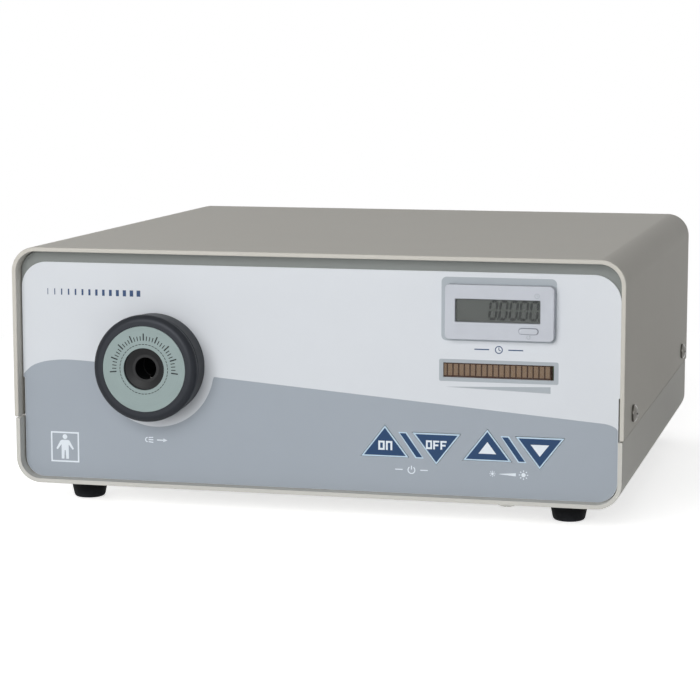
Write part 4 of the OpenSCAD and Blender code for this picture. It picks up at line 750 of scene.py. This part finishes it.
inside = SHELL_HALF - SHEET
outer = (rim(-SHELL_HALF + RIM, 270, 180) + bends(SHELL_HALF, SHELL_H, BEND)
         + rim(SHELL_HALF - RIM, 0, -90))
inner = [(-inside, SEAM_TOP)] + bends(inside, SHELL_H - SHEET, BEND - SHEET) + [(inside, SEAM_TOP)]
cut_sheet("cover_shell", [[outer + inner[::-1]]], SHELL_D, "cover", "top_cover", LIP_EDGE, 3)
print(f"cover {2 * SHELL_HALF:.0f} x {SHELL_D:.0f} x {SHELL_H:.1f} mm")

# %% [markdown]
# ## The overlay
# The front wears one printed film with a cut-out for everything that comes through it. It is a
# little smaller than the panel, so a strip of grey paint shows along the top, and it narrows at
# the bottom, where the chassis walls stand closer.

# %% Outline of the film
FILM = 1.0
FILM_EDGE = 0.06
OVERLAY_TOP = 101.4
OVERLAY_X = 137.4
CORNER = 12.0
LOW_X, LOW_Z, LOW_R = 136.8, 2.1, 9.0  # the part between the chassis walls
STEP_Z = 48.0

film = (arc(LOW_X - LOW_R, LOW_Z + LOW_R, LOW_R, -90, 0)
        + [(LOW_X, STEP_Z), (OVERLAY_X, STEP_Z)]
        + arc(OVERLAY_X - CORNER, OVERLAY_TOP - CORNER, CORNER, 0, 90)
        + arc(-OVERLAY_X + CORNER, OVERLAY_TOP - CORNER, CORNER, 90, 180)
        + [(-OVERLAY_X, STEP_Z), (-LOW_X, STEP_Z)]
        + arc(-LOW_X + LOW_R, LOW_Z + LOW_R, LOW_R, 180, 270))
print("film outline with", len(film), "points")

# %% Film with its cut-outs
KEYS = {"key_on": (33.35, 1), "key_off": (56.65, -1), "key_up": (79.45, 1), "key_down": (102.75, -1)}
KEY_BASE, KEY_HEIGHT = 19.4, 12.6
KEY_LOW, KEY_TOP = 18.8, 29.1
KEY_HOLE = 0.74
SOCKET_HOLE = 13.1
COUNTER_HOLE = (44.8, 22)


def key_outline(x, up, grow):
    """A key's triangle about its middle, grown by that much on every side."""
    side = math.hypot(KEY_HEIGHT, KEY_BASE / 2)
    inner_r = KEY_BASE * KEY_HEIGHT / (KEY_BASE + 2 * side)
    z = KEY_LOW + inner_r if up > 0 else KEY_TOP - inner_r
    k = (inner_r + grow) / inner_r
    return [(x - KEY_BASE / 2 * k, z - inner_r * k * up), (x + KEY_BASE / 2 * k, z - inner_r * k * up),
            (x, z + (KEY_HEIGHT - inner_r) * k * up)][::up]


(x0, _, z0), (x1, _, z1) = corners("bar_graph_window")
bar_hole = box(x0, z0, x1, z1)
holes = [key_outline(x, up, KEY_HOLE) for x, up in KEYS.values()]
holes += [disc(SOCKET_X, SOCKET_Z, SOCKET_HOLE), span(COUNTER_X, COUNTER_Z, *COUNTER_HOLE), bar_hole]
cut_sheet("overlay_sheet", [[film] + holes], FILM, "overlay", "front_overlay", FILM_EDGE, 1)
print("overlay with", len(holes), "cut-outs")

# %% [markdown]
# ## The printed wave
# The lower part of the film is printed grey. The print's edge rises in a soft shoulder, runs
# behind the socket, falls in a straight line and dips into the corner at the right. It is a spline
# through a few places read off the front. The white ring round the socket is left out by walking
# round a circle instead.

# %% Grey wave with the white ring left out
WAVE_LEFT = [(-137.2, 49.6), (-133.5, 53.0), (-129.0, 55.0), (-123.0, 56.2), (-115.0, 56.7),
             (-100.87, 56.1)]
WAVE_RING = (-45.8, 51.1)
WAVE_RIGHT = [(130.9, 36.8), (133.4, 36.2), (135.5, 35.2), (136.6, 34.0)]
MARGIN = 0.15
WAVE_STEP = [(-LOW_X + MARGIN, 47.9), (-137.2, 48.1)]
RING_R = 27.7
RING_Z = 55.0
WAVE_HOLE = 0.8


def through(points, steps=14):
    """A smooth line through the points."""
    line = []
    for i in range(len(points) - 1):
        p = [Vector(points[min(max(i + k, 0), len(points) - 1)]) for k in (-1, 0, 1, 2)]
        for s in range(steps):
            t = s / steps
            line.append(tuple(0.5 * (2 * p[1] + (p[2] - p[0]) * t
                                     + (2 * p[0] - 5 * p[1] + 4 * p[2] - p[3]) * t * t
                                     + (3 * p[1] - p[0] - 3 * p[2] + p[3]) * t ** 3)))
    return line + [tuple(points[-1])]


def bearing(point):
    """The direction of a point seen from the ring's middle, in degrees."""
    return math.degrees(math.atan2(point[1] - RING_Z, point[0] - SOCKET_X))


ring_edge = arc(SOCKET_X, RING_Z, RING_R, bearing(WAVE_LEFT[-1]), bearing(WAVE_RING) + 360, 60)
wave = (through(WAVE_LEFT) + ring_edge[1:-1] + [WAVE_RING] + through(WAVE_RIGHT)
        + arc(LOW_X - LOW_R, LOW_Z + LOW_R, LOW_R - MARGIN, 0, -90)
        + arc(-LOW_X + LOW_R, LOW_Z + LOW_R, LOW_R - MARGIN, 270, 180) + WAVE_STEP)
holes = [key_outline(x, up, WAVE_HOLE) for x, up in KEYS.values()]
marks("printed_wave", [[wave] + holes], "wave")
print("wave drawn with", len(wave), "points")

# %% [markdown]
# ## Keys
# The keys are pads of the same film on a plunger, each with a pale rim and a navy face. The power
# keys carry ON and OFF in square letters, the brightness keys a white triangle. Between the two
# keys of a pair runs a slanted bar, printed like a key but fixed.

# %% Key pads
PAD, PAD_EDGE = 0.7, 0.12
PAD_GROW, FACE_GROW = 0.53, -0.1

for name, (x, up) in KEYS.items():
    cut_sheet(f"{name}_pad", [[key_outline(x, up, PAD_GROW)]], PAD, "key_edge", name, PAD_EDGE)
    marks(f"{name}_face", [[key_outline(x, up, FACE_GROW)]], "navy", name)
print("four keys")

# %% Words and triangles on the keys
WORDS = {  # text, place of the lower left corner, width, height and pen of a letter, gap
    "key_on": ("ON", 30.4, 21.3, 2.9, 4.1, 0.85, 0.55),
    "key_off": ("OFF", 52.0, 22.5, 2.75, 3.9, 0.8, 0.5),
}
TRIANGLES = {
    "key_up": [(75.55, 21.5), (83.45, 21.5), (79.5, 26.8)],
    "key_down": [(98.65, 26.4), (102.75, 21.2), (106.8, 26.4)],
}


def letter(kind, x, z, width, height, pen):
    """A square letter from pen strokes, its lower left corner at x and z."""
    p = pen / 2
    if kind == "O":
        return [loop_stroke(box(x + p, z + p, x + width - p, z + height - p), pen)]
    if kind == "N":
        return [[stroke([(x + p, z), (x + p, z + height - p), (x + width - p, z + height - p),
                         (x + width - p, z)], pen)]]
    return [[stroke([(x + p, z), (x + p, z + height - p), (x + width, z + height - p)], pen)],
            [stroke([(x + pen, z + height * 0.47), (x + width * 0.85, z + height * 0.47)], pen)]]


def word(text, x, z, width, height, pen, gap):
    """Letters side by side."""
    places = [(kind, x + i * (width + gap)) for i, kind in enumerate(text)]
    return [group for kind, at in places for group in letter(kind, at, z, width, height, pen)]


for name, writing in WORDS.items():
    marks(f"{name}_word", word(*writing), "white_ink", name, 1)
for name, triangle in TRIANGLES.items():
    marks(f"{name}_sign", [[triangle]], "white_ink", name, 1)
print("two words and two triangles")

# %% Slanted bars between the keys
SLANTED = (40.0, 85.9)
RUN, DROP, WIDE = 7.6, 10.5, 2.7
SLANTED_RIM = 0.5


def slanted(x, grow):
    """The bar of a pair: x is its upper left corner."""
    return [(x - grow * 1.3, KEY_TOP + grow), (x + WIDE + grow * 0.8, KEY_TOP + grow),
            (x + WIDE + RUN + grow * 1.3, KEY_TOP - DROP - grow),
            (x + RUN - grow * 0.8, KEY_TOP - DROP - grow)]


marks("bar_rims", [[slanted(x, SLANTED_RIM)] for x in SLANTED], "key_edge", under=1)
marks("bar_faces", [[slanted(x, 0)] for x in SLANTED], "navy", under=2)
print(len(SLANTED), "bars")

# %% [markdown]
# ## Signs instead of words
# The real front names its controls in words. A generic part carries none, so each place holds a
# plain sign of the same size and ink: power, a sun for brightness, rays for the light outlet, a
# clock for the hours, growing bars for the title, and the standing figure in its frame.

# %% Shapes of the signs
def power_sign(x, z, r, pen):
    return [[stroke(arc(x, z, r, 125, 415, 40), pen)],
            [stroke([(x, z + r * 0.15), (x, z + r * 1.25)], pen)]]


def ray(x, z, angle, r0, r1, pen):
    """A line that points away from x and z, from one radius to another."""
    a = math.radians(angle)
    return [stroke([(x + r * math.cos(a), z + r * math.sin(a)) for r in (r0, r1)], pen)]


def sun_sign(x, z, r, pen):
    return [[disc(x, z, r * 0.45, 32)]] + [ray(x, z, a, r * 0.68, r, pen) for a in range(0, 360, 45)]


def arrow_sign(x, z, length, pen):
    tip = length / 2
    return [[stroke([(x - tip, z), (x + tip * 0.3, z)], pen)],
            [[(x + tip * 0.2, z - pen * 1.6), (x + tip, z), (x + tip * 0.2, z + pen * 1.6)]]]


def rays_sign(x, z, r, pen):
    return [[stroke(arc(x, z, r * 0.62, 90, 270, 20), pen)]] + [
        [stroke([(x + r * 0.3, z + r * lift), (x + r * 1.7, z + r * lift * 1.2)], pen)]
        for lift in (-0.6, 0, 0.6)]


def clock_sign(x, z, r, pen):
    return [loop_stroke(disc(x, z, r - pen / 2, 40), pen),
            [stroke([(x, z + r * 0.62), (x, z), (x + r * 0.45, z - r * 0.25)], pen * 0.8)]]


def dash(x, z, length, pen):
    return [stroke([(x, z), (x + length, z)], pen)]


print("signs are drawn from arcs, discs and strokes")

# %% Signs in white ink
PEN, THIN_PEN, ARROW_PEN = 0.45, 0.35, 0.5
POWER = (45.4, 12.7, 1.55)  # place and radius
DIM, BRIGHT = (81.8, 12.7, 1.3), (95.6, 12.7, 2.1)
OUTLET = (-77.6, 21.2, 1.6)
ARROW = (-70.6, 21.2, 5.0)
WEDGE = [(84.8, 12.6), (92.2, 12.0), (92.2, 13.4), (84.8, 12.8)]
POWER_DASHES = [(x, 12.8, 3.4) for x in (38.0, 49.4)]

signs = power_sign(*POWER, PEN) + [dash(*at, PEN) for at in POWER_DASHES]
signs += sun_sign(*DIM, THIN_PEN) + sun_sign(*BRIGHT, PEN) + [[WEDGE]]
signs += rays_sign(*OUTLET, PEN) + arrow_sign(*ARROW, ARROW_PEN)
marks("white_signs", signs, "white_ink", under=1)
print(len(signs), "strokes of white ink")

# %% Standing figure in its frame
FRAME_OUTER, FRAME_INNER = (-124.5, 9.1, -110.8, 23.2), (-123.8, 9.8, -111.5, 22.5)
FIGURE_X = -117.65
HEAD_Z, HEAD_R = 20.9, 1.15
HALF_BODY = [(1.6, 19.4), (2.3, 18.9), (4.3, 15.3), (3.6, 14.9), (1.75, 17.3), (1.75, 10.6),
             (0.45, 10.6), (0.25, 14.6)]

figure = [(FIGURE_X - u, z) for u, z in HALF_BODY[:1]] + [(FIGURE_X + u, z) for u, z in HALF_BODY]
figure += [(FIGURE_X - u, z) for u, z in HALF_BODY[:0:-1]]
marks("patient_sign", [[box(*FRAME_OUTER), box(*FRAME_INNER)], [disc(FIGURE_X, HEAD_Z, HEAD_R, 32)],
                       [figure]], "white_ink", under=1)
print("figure with", len(figure), "corners")

# %% Signs in blue and grey ink
TITLE_X, TITLE_Z, TITLE_H = -124.9, 86.5, 2.8
TITLE_BARS, TITLE_PITCH, TITLE_WIDTH, TITLE_GROWTH = 14, 3.3, 0.35, 0.11
HOURS = (84.2, 67.6, 1.75)
HOURS_PEN = 0.42
HOURS_DASHES = [(x, 67.6, 6.5) for x in (73.4, 88.4)]
BAR_BORDER = (57.7, 53.1, 110.5, 62.9, 0.8)
COUNTER_BORDER = (84.0, 85.1, 50.8, 28, 2.3)
COUNTER_CUT = (45, 22.2)
RAMP = [(60.5, 50.6), (107.1, 49.1), (107.1, 52.0)]

starts = [TITLE_X + TITLE_PITCH * i for i in range(TITLE_BARS)]
title = [[box(x, TITLE_Z, x + TITLE_WIDTH + TITLE_GROWTH * i, TITLE_Z + TITLE_H)]
         for i, x in enumerate(starts)]
hours = clock_sign(*HOURS, HOURS_PEN) + [dash(*at, ARROW_PEN) for at in HOURS_DASHES]
marks("blue_signs", title + hours, "blue_ink")
counter_border = [span(*COUNTER_BORDER), span(COUNTER_X, COUNTER_Z, *COUNTER_CUT)]
marks("grey_prints", [[box(*BAR_BORDER), bar_hole], counter_border, [RAMP]], "grey_ink")
print("title bars:", len(title))

# %% [markdown]
# ## The hour counter
# A panel counter is a snap-in box whose bezel has a soft moulded rim. Behind its window lies a
# grey-green display, and each digit on it is drawn from slanted bars, as the display does it. A
# small pill-shaped button resets it.

# %% Bezel
BEZEL_EDGE = 0.4
dress("counter_case", "bezel", BEZEL_EDGE)
print(f"bezel stands {OVERLAY - depth('counter_case'):.1f} mm out of the film")

# %% Digits on the display
LEAN = math.tan(math.radians(6))
DIGIT_W, DIGIT_H, DIGIT_PITCH, DIGIT_BAR, DIGIT_GAP = 2.9, 7.7, 4.5, 1.1, 0.14
DIGITS = 5
DIGIT_FIRST = (COUNTER_X - 4.3, COUNTER_Z - 2.85)
POINT_AFTER, POINT_AT, POINT = (0, 2), (0.6, 0.2), 0.75
TICK_AT, TICK = (COUNTER_X + 17.2, COUNTER_Z - 2.9), (0.5, 1.3)
ROUND = [((0, 0), (1, 0)), ((0, 1), (0, 0)), ((0, 2), (0, 1)), ((1, 1), (1, 0)), ((1, 2), (1, 1)),
         ((0, 2), (1, 2))]
MIDDLE_BAR = ((0, 1), (1, 1))


def digit_bar(x, z, a, b):
    """One bar of a digit, from a to b, with pointed ends, leaning as the display's digits do."""
    ax, az, bx, bz = a[0] * DIGIT_W, a[1] * DIGIT_H / 2, b[0] * DIGIT_W, b[1] * DIGIT_H / 2
    way = Vector((bx - ax, bz - az)).normalized()
    side = Vector((-way.y, way.x)) * DIGIT_BAR / 2
    taper = way * DIGIT_BAR / 2
    p, q = Vector((ax, az)) + way * DIGIT_GAP, Vector((bx, bz)) - way * DIGIT_GAP
    tips = [p, p + taper + side, q - taper + side, q, q - taper - side, p + taper - side]
    return [(x + t.x + (t.y - DIGIT_H / 2) * LEAN, z + t.y) for t in tips]


digits, faint = [], []
for i in range(DIGITS):
    x, z = DIGIT_FIRST[0] + i * DIGIT_PITCH, DIGIT_FIRST[1]
    digits += [[digit_bar(x, z, *ends)] for ends in ROUND]
    faint.append([digit_bar(x, z, *MIDDLE_BAR)])
    if i in POINT_AFTER:
        digits.append([span(x + DIGIT_W + POINT_AT[0], z + POINT_AT[1], POINT, POINT)])
digits.append([span(*TICK_AT, *TICK)])
marks("display_digits", digits, "digit", "counter_display")
marks("display_faint", faint, "ghost", "counter_display")
print(len(digits), "dark bars")

# %% Window of the counter
PANE, PANE_EDGE = 0.8, 0.1
(x0, _, z0), (x1, _, z1) = corners("counter_window")
cut_sheet("counter_pane", [[box(x0, z0, x1, z1)]], PANE, "clear", "counter_window", PANE_EDGE)
print(f"window {x1 - x0:.1f} mm wide")

# %% Reset button and the counter's signs
BUTTON_X, BUTTON_Z = middle("reset_button")
BUTTON = (8.4, 2.6, 1.29)  # width, height and corner radius
BUTTON_DEEP, BUTTON_EDGE = 5.2, 0.4
CLOCK = (COUNTER_X + 16.6, COUNTER_Z + 7.75, 1.15, 0.3)
TURN_DOWN, TURN_R, TURN_PEN = 2.55, 0.75, 0.25
TURN_TIP = [(0.15, -1.85), (1.1, -1.75), (0.65, -2.5)]

cut_sheet("reset_cap", [[span(BUTTON_X, BUTTON_Z, *BUTTON)]], BUTTON_DEEP, "bezel",
          "reset_button", BUTTON_EDGE, 3)
small = clock_sign(*CLOCK)
small += [[stroke(arc(BUTTON_X, BUTTON_Z - TURN_DOWN, TURN_R, 120, 400, 24), TURN_PEN)]]
small += [[[(BUTTON_X + u, BUTTON_Z + v) for u, v in TURN_TIP]]]
marks("counter_signs", small, "grey_ink", "counter_case")
print("reset button at", round(BUTTON_X, 1), round(BUTTON_Z, 1))

# %% [markdown]
# ## The bar graph
# A row of lamps shows the brightness. Unlit, they are the brown of their tinted plastic, with dark
# gaps between them. The tinted pane before them is thin and lies inside the film.

# %% Tinted pane
TINTED, TINTED_EDGE = 0.5, 0.05
cut_sheet("bar_pane", [[bar_hole]], TINTED, "amber", "bar_graph_window", TINTED_EDGE, 1)
print(f"segments {depth('bar_graph_segments') - depth('bar_graph_window'):.1f} mm behind the pane")

# %% [markdown]
# ## The light socket
# The socket is turned from bar: a collar with a groove for the fingers, a pale ring plate let into
# its face, and a black sleeve whose dished mouth leads the plug in. Collar and sleeve follow their
# solids. The plate is a profile of radii and heights, spun round its axis after its corners are
# rounded, and feet and eyelets are made the same way.

# %% Spinning profiles
def rounded(profile, radius, steps=5):
    """Rounds the corners of a closed profile; each corner is (r, h) or (r, h, its own radius)."""
    line = []
    count = len(profile)
    for i, corner in enumerate(profile):
        here = Vector(corner[:2])
        before, after = Vector(profile[i - 1][:2]), Vector(profile[(i + 1) % count][:2])
        reach = corner[2] if len(corner) > 2 else radius
        reach = min(reach, (before - here).length * 0.49, (after - here).length * 0.49)
        if reach <= 0:
            line.append(tuple(here))
            continue
        start = here + (before - here).normalized() * reach
        end = here + (after - here).normalized() * reach
        for s in range(steps + 1):
            t = s / steps
            line.append(tuple(start * (1 - t) ** 2 + here * 2 * t * (1 - t) + end * t * t))
    return line


def spun(name, profile, steps, look, node, at, stands=True):
    """A closed profile of (radius, height) turned in steps; at(across, up, height) is a point."""
    work = bmesh.new()
    rings = []
    for i in range(steps):
        a = 2 * math.pi * i / steps
        rings.append([work.verts.new(at(r * math.cos(a), r * math.sin(a), h)) for r, h in profile])
    for i in range(steps):
        for j in range(len(profile)):
            k = (j + 1) % len(profile)
            onward = rings[(i + 1) % steps]
            work.faces.new((rings[i][j], rings[i][k], onward[k], onward[j]))
    bmesh.ops.remove_doubles(work, verts=work.verts, dist=WELD)
    bmesh.ops.dissolve_degenerate(work, edges=work.edges, dist=TINY)
    bmesh.ops.recalc_face_normals(work, faces=work.faces)
    settle(name, mesh_of(work, name), look, node, stands)


print("spinning helper ready")

# %% Collar, ring plate and sleeve
COLLAR_EDGE = 0.12
PLATE_IN, PLATE_OUT = 9.5, 19.28
PLATE_BACK, PLATE_FACE = 15.12, 15.95
PLATE_ROUND = 0.06

dress("socket_collar", "collar", COLLAR_EDGE)
plate = [(PLATE_IN, PLATE_BACK), (PLATE_OUT, PLATE_BACK), (PLATE_OUT, PLATE_FACE, PLATE_ROUND),
         (PLATE_IN, PLATE_FACE, PLATE_ROUND)]
spun("ring_plate_disc", rounded(plate, 0), 128, "plate", "ring_plate",
     lambda u, v, h: place(SOCKET_X + u, OVERLAY - h, SOCKET_Z + v))
coat("sleeve", "guide_sleeve")
coat("ball", "detent_ball")
print("socket turned")

# %% Marks on the ring plate
DASH_R, DASH_PEN = 11.2, 0.3
INDEX_IN, INDEX_OUT, INDEX_PEN = 12.9, 14.9, 0.4
LONG_OUT, LONG_PEN = 16.1, 0.6

dashes = [[stroke(arc(SOCKET_X, SOCKET_Z, DASH_R, a, a + 6, 4), DASH_PEN)]
          for a in range(0, 360, 8)]
index_marks = []
for i, a in enumerate(range(-6, 187, 6)):
    out, pen = (LONG_OUT, LONG_PEN) if i % 4 == 0 else (INDEX_OUT, INDEX_PEN)
    index_marks.append(ray(SOCKET_X, SOCKET_Z, a, INDEX_IN, out, pen))
marks("plate_marks", dashes + index_marks, "black_ink", "ring_plate", face=OVERLAY - PLATE_FACE)
print(len(dashes), "dashes and", len(index_marks), "index marks")

# %% [markdown]
# ## Feet
# The feet are moulded rubber cones with a rounded lower edge and a well for their screw. A spun
# copy has a finer round than the solid, and a soft shoulder where the foot meets the steel.

# %% Rubber feet
FOOT_R, FOOT_TIP_R, FOOT_WELL_R, FOOT_HOLE_R = 9.0, 7.0, 4.0, 2.1
FOOT_SEAT = -5.5
foot_profile = [(FOOT_WELL_R, -UNDERSIDE, 0.3), (FOOT_TIP_R, -UNDERSIDE, 1.6), (FOOT_R, -0.4, 0.5),
                (FOOT_R - 0.3, 0, 0.1), (FOOT_HOLE_R, 0, 0), (FOOT_HOLE_R, FOOT_SEAT, 0),
                (FOOT_WELL_R, FOOT_SEAT, 0.2)]
(_, front, _), (right, back, _) = corners("rubber_feet")
foot_x = right - FOOT_R
foot_y = [front + FOOT_R, back - FOOT_R]

for i, (x, y) in enumerate([(x, y) for x in (-foot_x, foot_x) for y in foot_y]):
    spun(f"foot_{i}", rounded(foot_profile, 0.1), 64, "rubber", "rubber_feet",
         lambda u, v, h: place(x + u, y + v, h), i == 0)
print("feet at", round(foot_x, 1), [round(y, 1) for y in foot_y])

# %% [markdown]
# ## The rear
# Behind, the fan looks out through a guard of bent wire. A wire is a curve with a round section,
# so each ring and each arm is drawn as a line. The inlet, its fuse drawer and the rocker follow
# their solids; the rocker gets the usual ring and bar.

# %% Fan guard of bent wire
WIRE_R = 0.9
RINGS = [11 + 8 * i for i in range(4)]
GUARD_UP = 4.0
ARM = [(RINGS[0] - 1, GUARD_UP - 0.9), (RINGS[-1] + 0.5, GUARD_UP - 0.9), (RINGS[-1] + 4.5, 1.6),
       (46.5, 0.95)]  # radius, and height above the rear panel
EYE = 35.75
EYELET = [(2.1, 0.05), (4.4, 0.05, 0.5), (4.4, 1.55, 0.7), (2.1, 1.55, 0.3)]

wires = bpy.data.curves.new("guard_wires", "CURVE")
wires.dimensions = "3D"
wires.bevel_depth = WIRE_R * MM
wires.bevel_resolution = 3
wires.use_fill_caps = True
for radius in RINGS:
    draw(wires, [place(FAN_X + x, REAR + GUARD_UP, FAN_Z + z) for x, z in disc(0, 0, radius, 72)])
for a in (45, 135, 225, 315):
    c, s = math.cos(math.radians(a)), math.sin(math.radians(a))
    draw(wires, [place(FAN_X + r * c, REAR + h, FAN_Z + r * s) for r, h in through(ARM, 6)], False)
print(len(wires.splines), "wires")
guard = curve_mesh(wires)
soften_shading(guard)
settle("guard_wires", guard, "guard", "fan_guard")
for i, (x, z) in enumerate([(x, z) for x in (-EYE, EYE) for z in (-EYE, EYE)]):
    spun(f"guard_eyelet_{i}", rounded(EYELET, 0.1), 48, "guard", "fan_guard",
         lambda u, v, h: place(FAN_X + x + u, REAR + h, FAN_Z + z + v), False)

# %% Rocker with its ring and bar
ROCKER_EDGE = 0.25
ROCKER_FACE = 3.26
ROCKER_REST, ROCKER_SLOPE = 11, 9.07
ROCKER_X = middle("mains_rocker")[0]
ON_BAR, ON_PEN = [(0, 3), (0, 6.6)], 0.8
OFF_RING, OFF_PEN = (0, -4.8, 1.6, 40), 0.7


def rocker_mark(name, groups, slope):
    """Print on one half of the rocker's shallow V; outlines are given about its pivot."""
    work = bmesh.new()
    fill(work, groups, INK, steps=1)
    lean = Matrix.Rotation(math.radians(-ROCKER_REST - slope), 4, "X")
    turn = Matrix.Rotation(math.pi, 4, "Z") @ UPRIGHT
    lift = Matrix.Translation((0, 0, (ROCKER_FACE + INK) * MM))
    mesh = mesh_of(work, name, Matrix.Translation(place(ROCKER_X, REAR, INLET_Z)) @ lean @ turn @ lift)
    settle(name, mesh, "white_ink", "mains_rocker", False)


dress("mains_rocker", "inlet", ROCKER_EDGE)
rocker_mark("rocker_on", [[stroke(ON_BAR, ON_PEN)]], ROCKER_SLOPE)
rocker_mark("rocker_off", [loop_stroke(disc(*OFF_RING), OFF_PEN)], -ROCKER_SLOPE)
print("rocker turns about", round(ROCKER_X, 1), round(INLET_Z, 1))

# %% Sign at the potential equalisation pin
SIGN_UP, SIGN_STEM, SIGN_PEN = 14, 4, 0.6
SIGN_BARS = [(3.2, 0), (2.1, 1.5), (1.0, 3.0)]  # half length, and how far below the first
sign_z = EARTH_Z + SIGN_UP
sign = [[stroke([(EARTH_X, sign_z + SIGN_STEM), (EARTH_X, sign_z)], SIGN_PEN)]]
sign += [dash(EARTH_X - reach, sign_z - drop, 2 * reach, SIGN_PEN) for reach, drop in SIGN_BARS]
cut_sheet("earth_sign", sign, INK_THICK, "black_ink", "rear_panel", y=REAR + 0.1 * INK)
print("sign above the pin")

# %% [markdown]
# ## Floor, backdrop and light
# The product stands on a pale sweep that melts into white. The floor keeps a soft shadow near the
# feet, and with distance it turns into a plain white glow. Camera, gloss and glass see the glow,
# but it lights nothing, so the object's own colours stay as they were mixed.

# %% World
AMBIENT = 0.18
WHITE = (1, 1, 1, 1)


def seen(graph):
    """1 for rays of the camera, of gloss and of glass, 0 for those that carry light."""
    camera_ray, gloss_ray, glass_ray = [graph.node("ShaderNodeLightPath", output=f"Is {kind} Ray")
                                        for kind in ("Camera", "Glossy", "Transmission")]
    either = camera_ray.maths("MAXIMUM", camera_ray, gloss_ray)
    return either.maths("MAXIMUM", either, glass_ray)


world = bpy.data.worlds.new("world")
bpy.context.scene.world = world
world.use_nodes = True
sky = Graph(world.node_tree)
ambient = sky.node("ShaderNodeBackground", None, {"Color": WHITE, "Strength": AMBIENT})
white = sky.node("ShaderNodeBackground", None, {"Color": WHITE, "Strength": 1.0})
sky.end(sky.node("ShaderNodeMixShader", None, {0: seen(sky), 1: ambient, 2: white}), "World Output")
print("world ready")

# %% Floor
FLOOR_HALF = 6.0
FLOOR_GLOW = 0.66
FADE_FROM, FADE_TO = 160, 560

look = Look("floor", (250, 250, 250), 0.9)
surface = Term(look, look.shader.outputs[0])
shine = look.node("ShaderNodeEmission", None, {"Strength": FLOOR_GLOW})
lifted = look.node("ShaderNodeAddShader", None, {0: surface, 1: shine})
reach = (look.axis("X") ** 2.0 + look.axis("Y") ** 2.0) ** 0.5
fade = look.clamp(reach, FADE_FROM, FADE_TO)
glow = look.node("ShaderNodeEmission")
shown = look.node("ShaderNodeMixShader", None, {0: fade, 1: lifted, 2: glow})
look.end(look.node("ShaderNodeMixShader", None, {0: seen(look), 1: surface, 2: shown}),
         "Material Output")
floor_mesh = bpy.data.meshes.new("floor")
square = [(u * FLOOR_HALF, v * FLOOR_HALF, 0) for u, v in ((-1, -1), (1, -1), (1, 1), (-1, 1))]
floor_mesh.from_pydata(square, [], [(0, 1, 2, 3)])
floor_mesh.materials.append(look.material)
floor = add("floor", floor_mesh)
print("floor ready")

# %% Lamps
AIM = (0, 0, 60)
LAMPS = {  # place in millimetres, side in millimetres, watts
    "front_softbox": ((-250, -1900, 640), 1300, 26),
    "rear_softbox": ((-1450, 1350, 240), 900, 26),
}

for name, (at, side, watts) in LAMPS.items():
    light = bpy.data.lights.new(name, "AREA")
    light.size = side * MM
    light.energy = watts
    lamp = add(name, light)
    lamp.location = Vector(at) * MM
    lamp.rotation_euler = (Vector(AIM) - Vector(at)).to_track_quat("-Z", "Y").to_euler()
bpy.context.scene.view_settings.view_transform = "Standard"
print(len(LAMPS), "lamps ready")
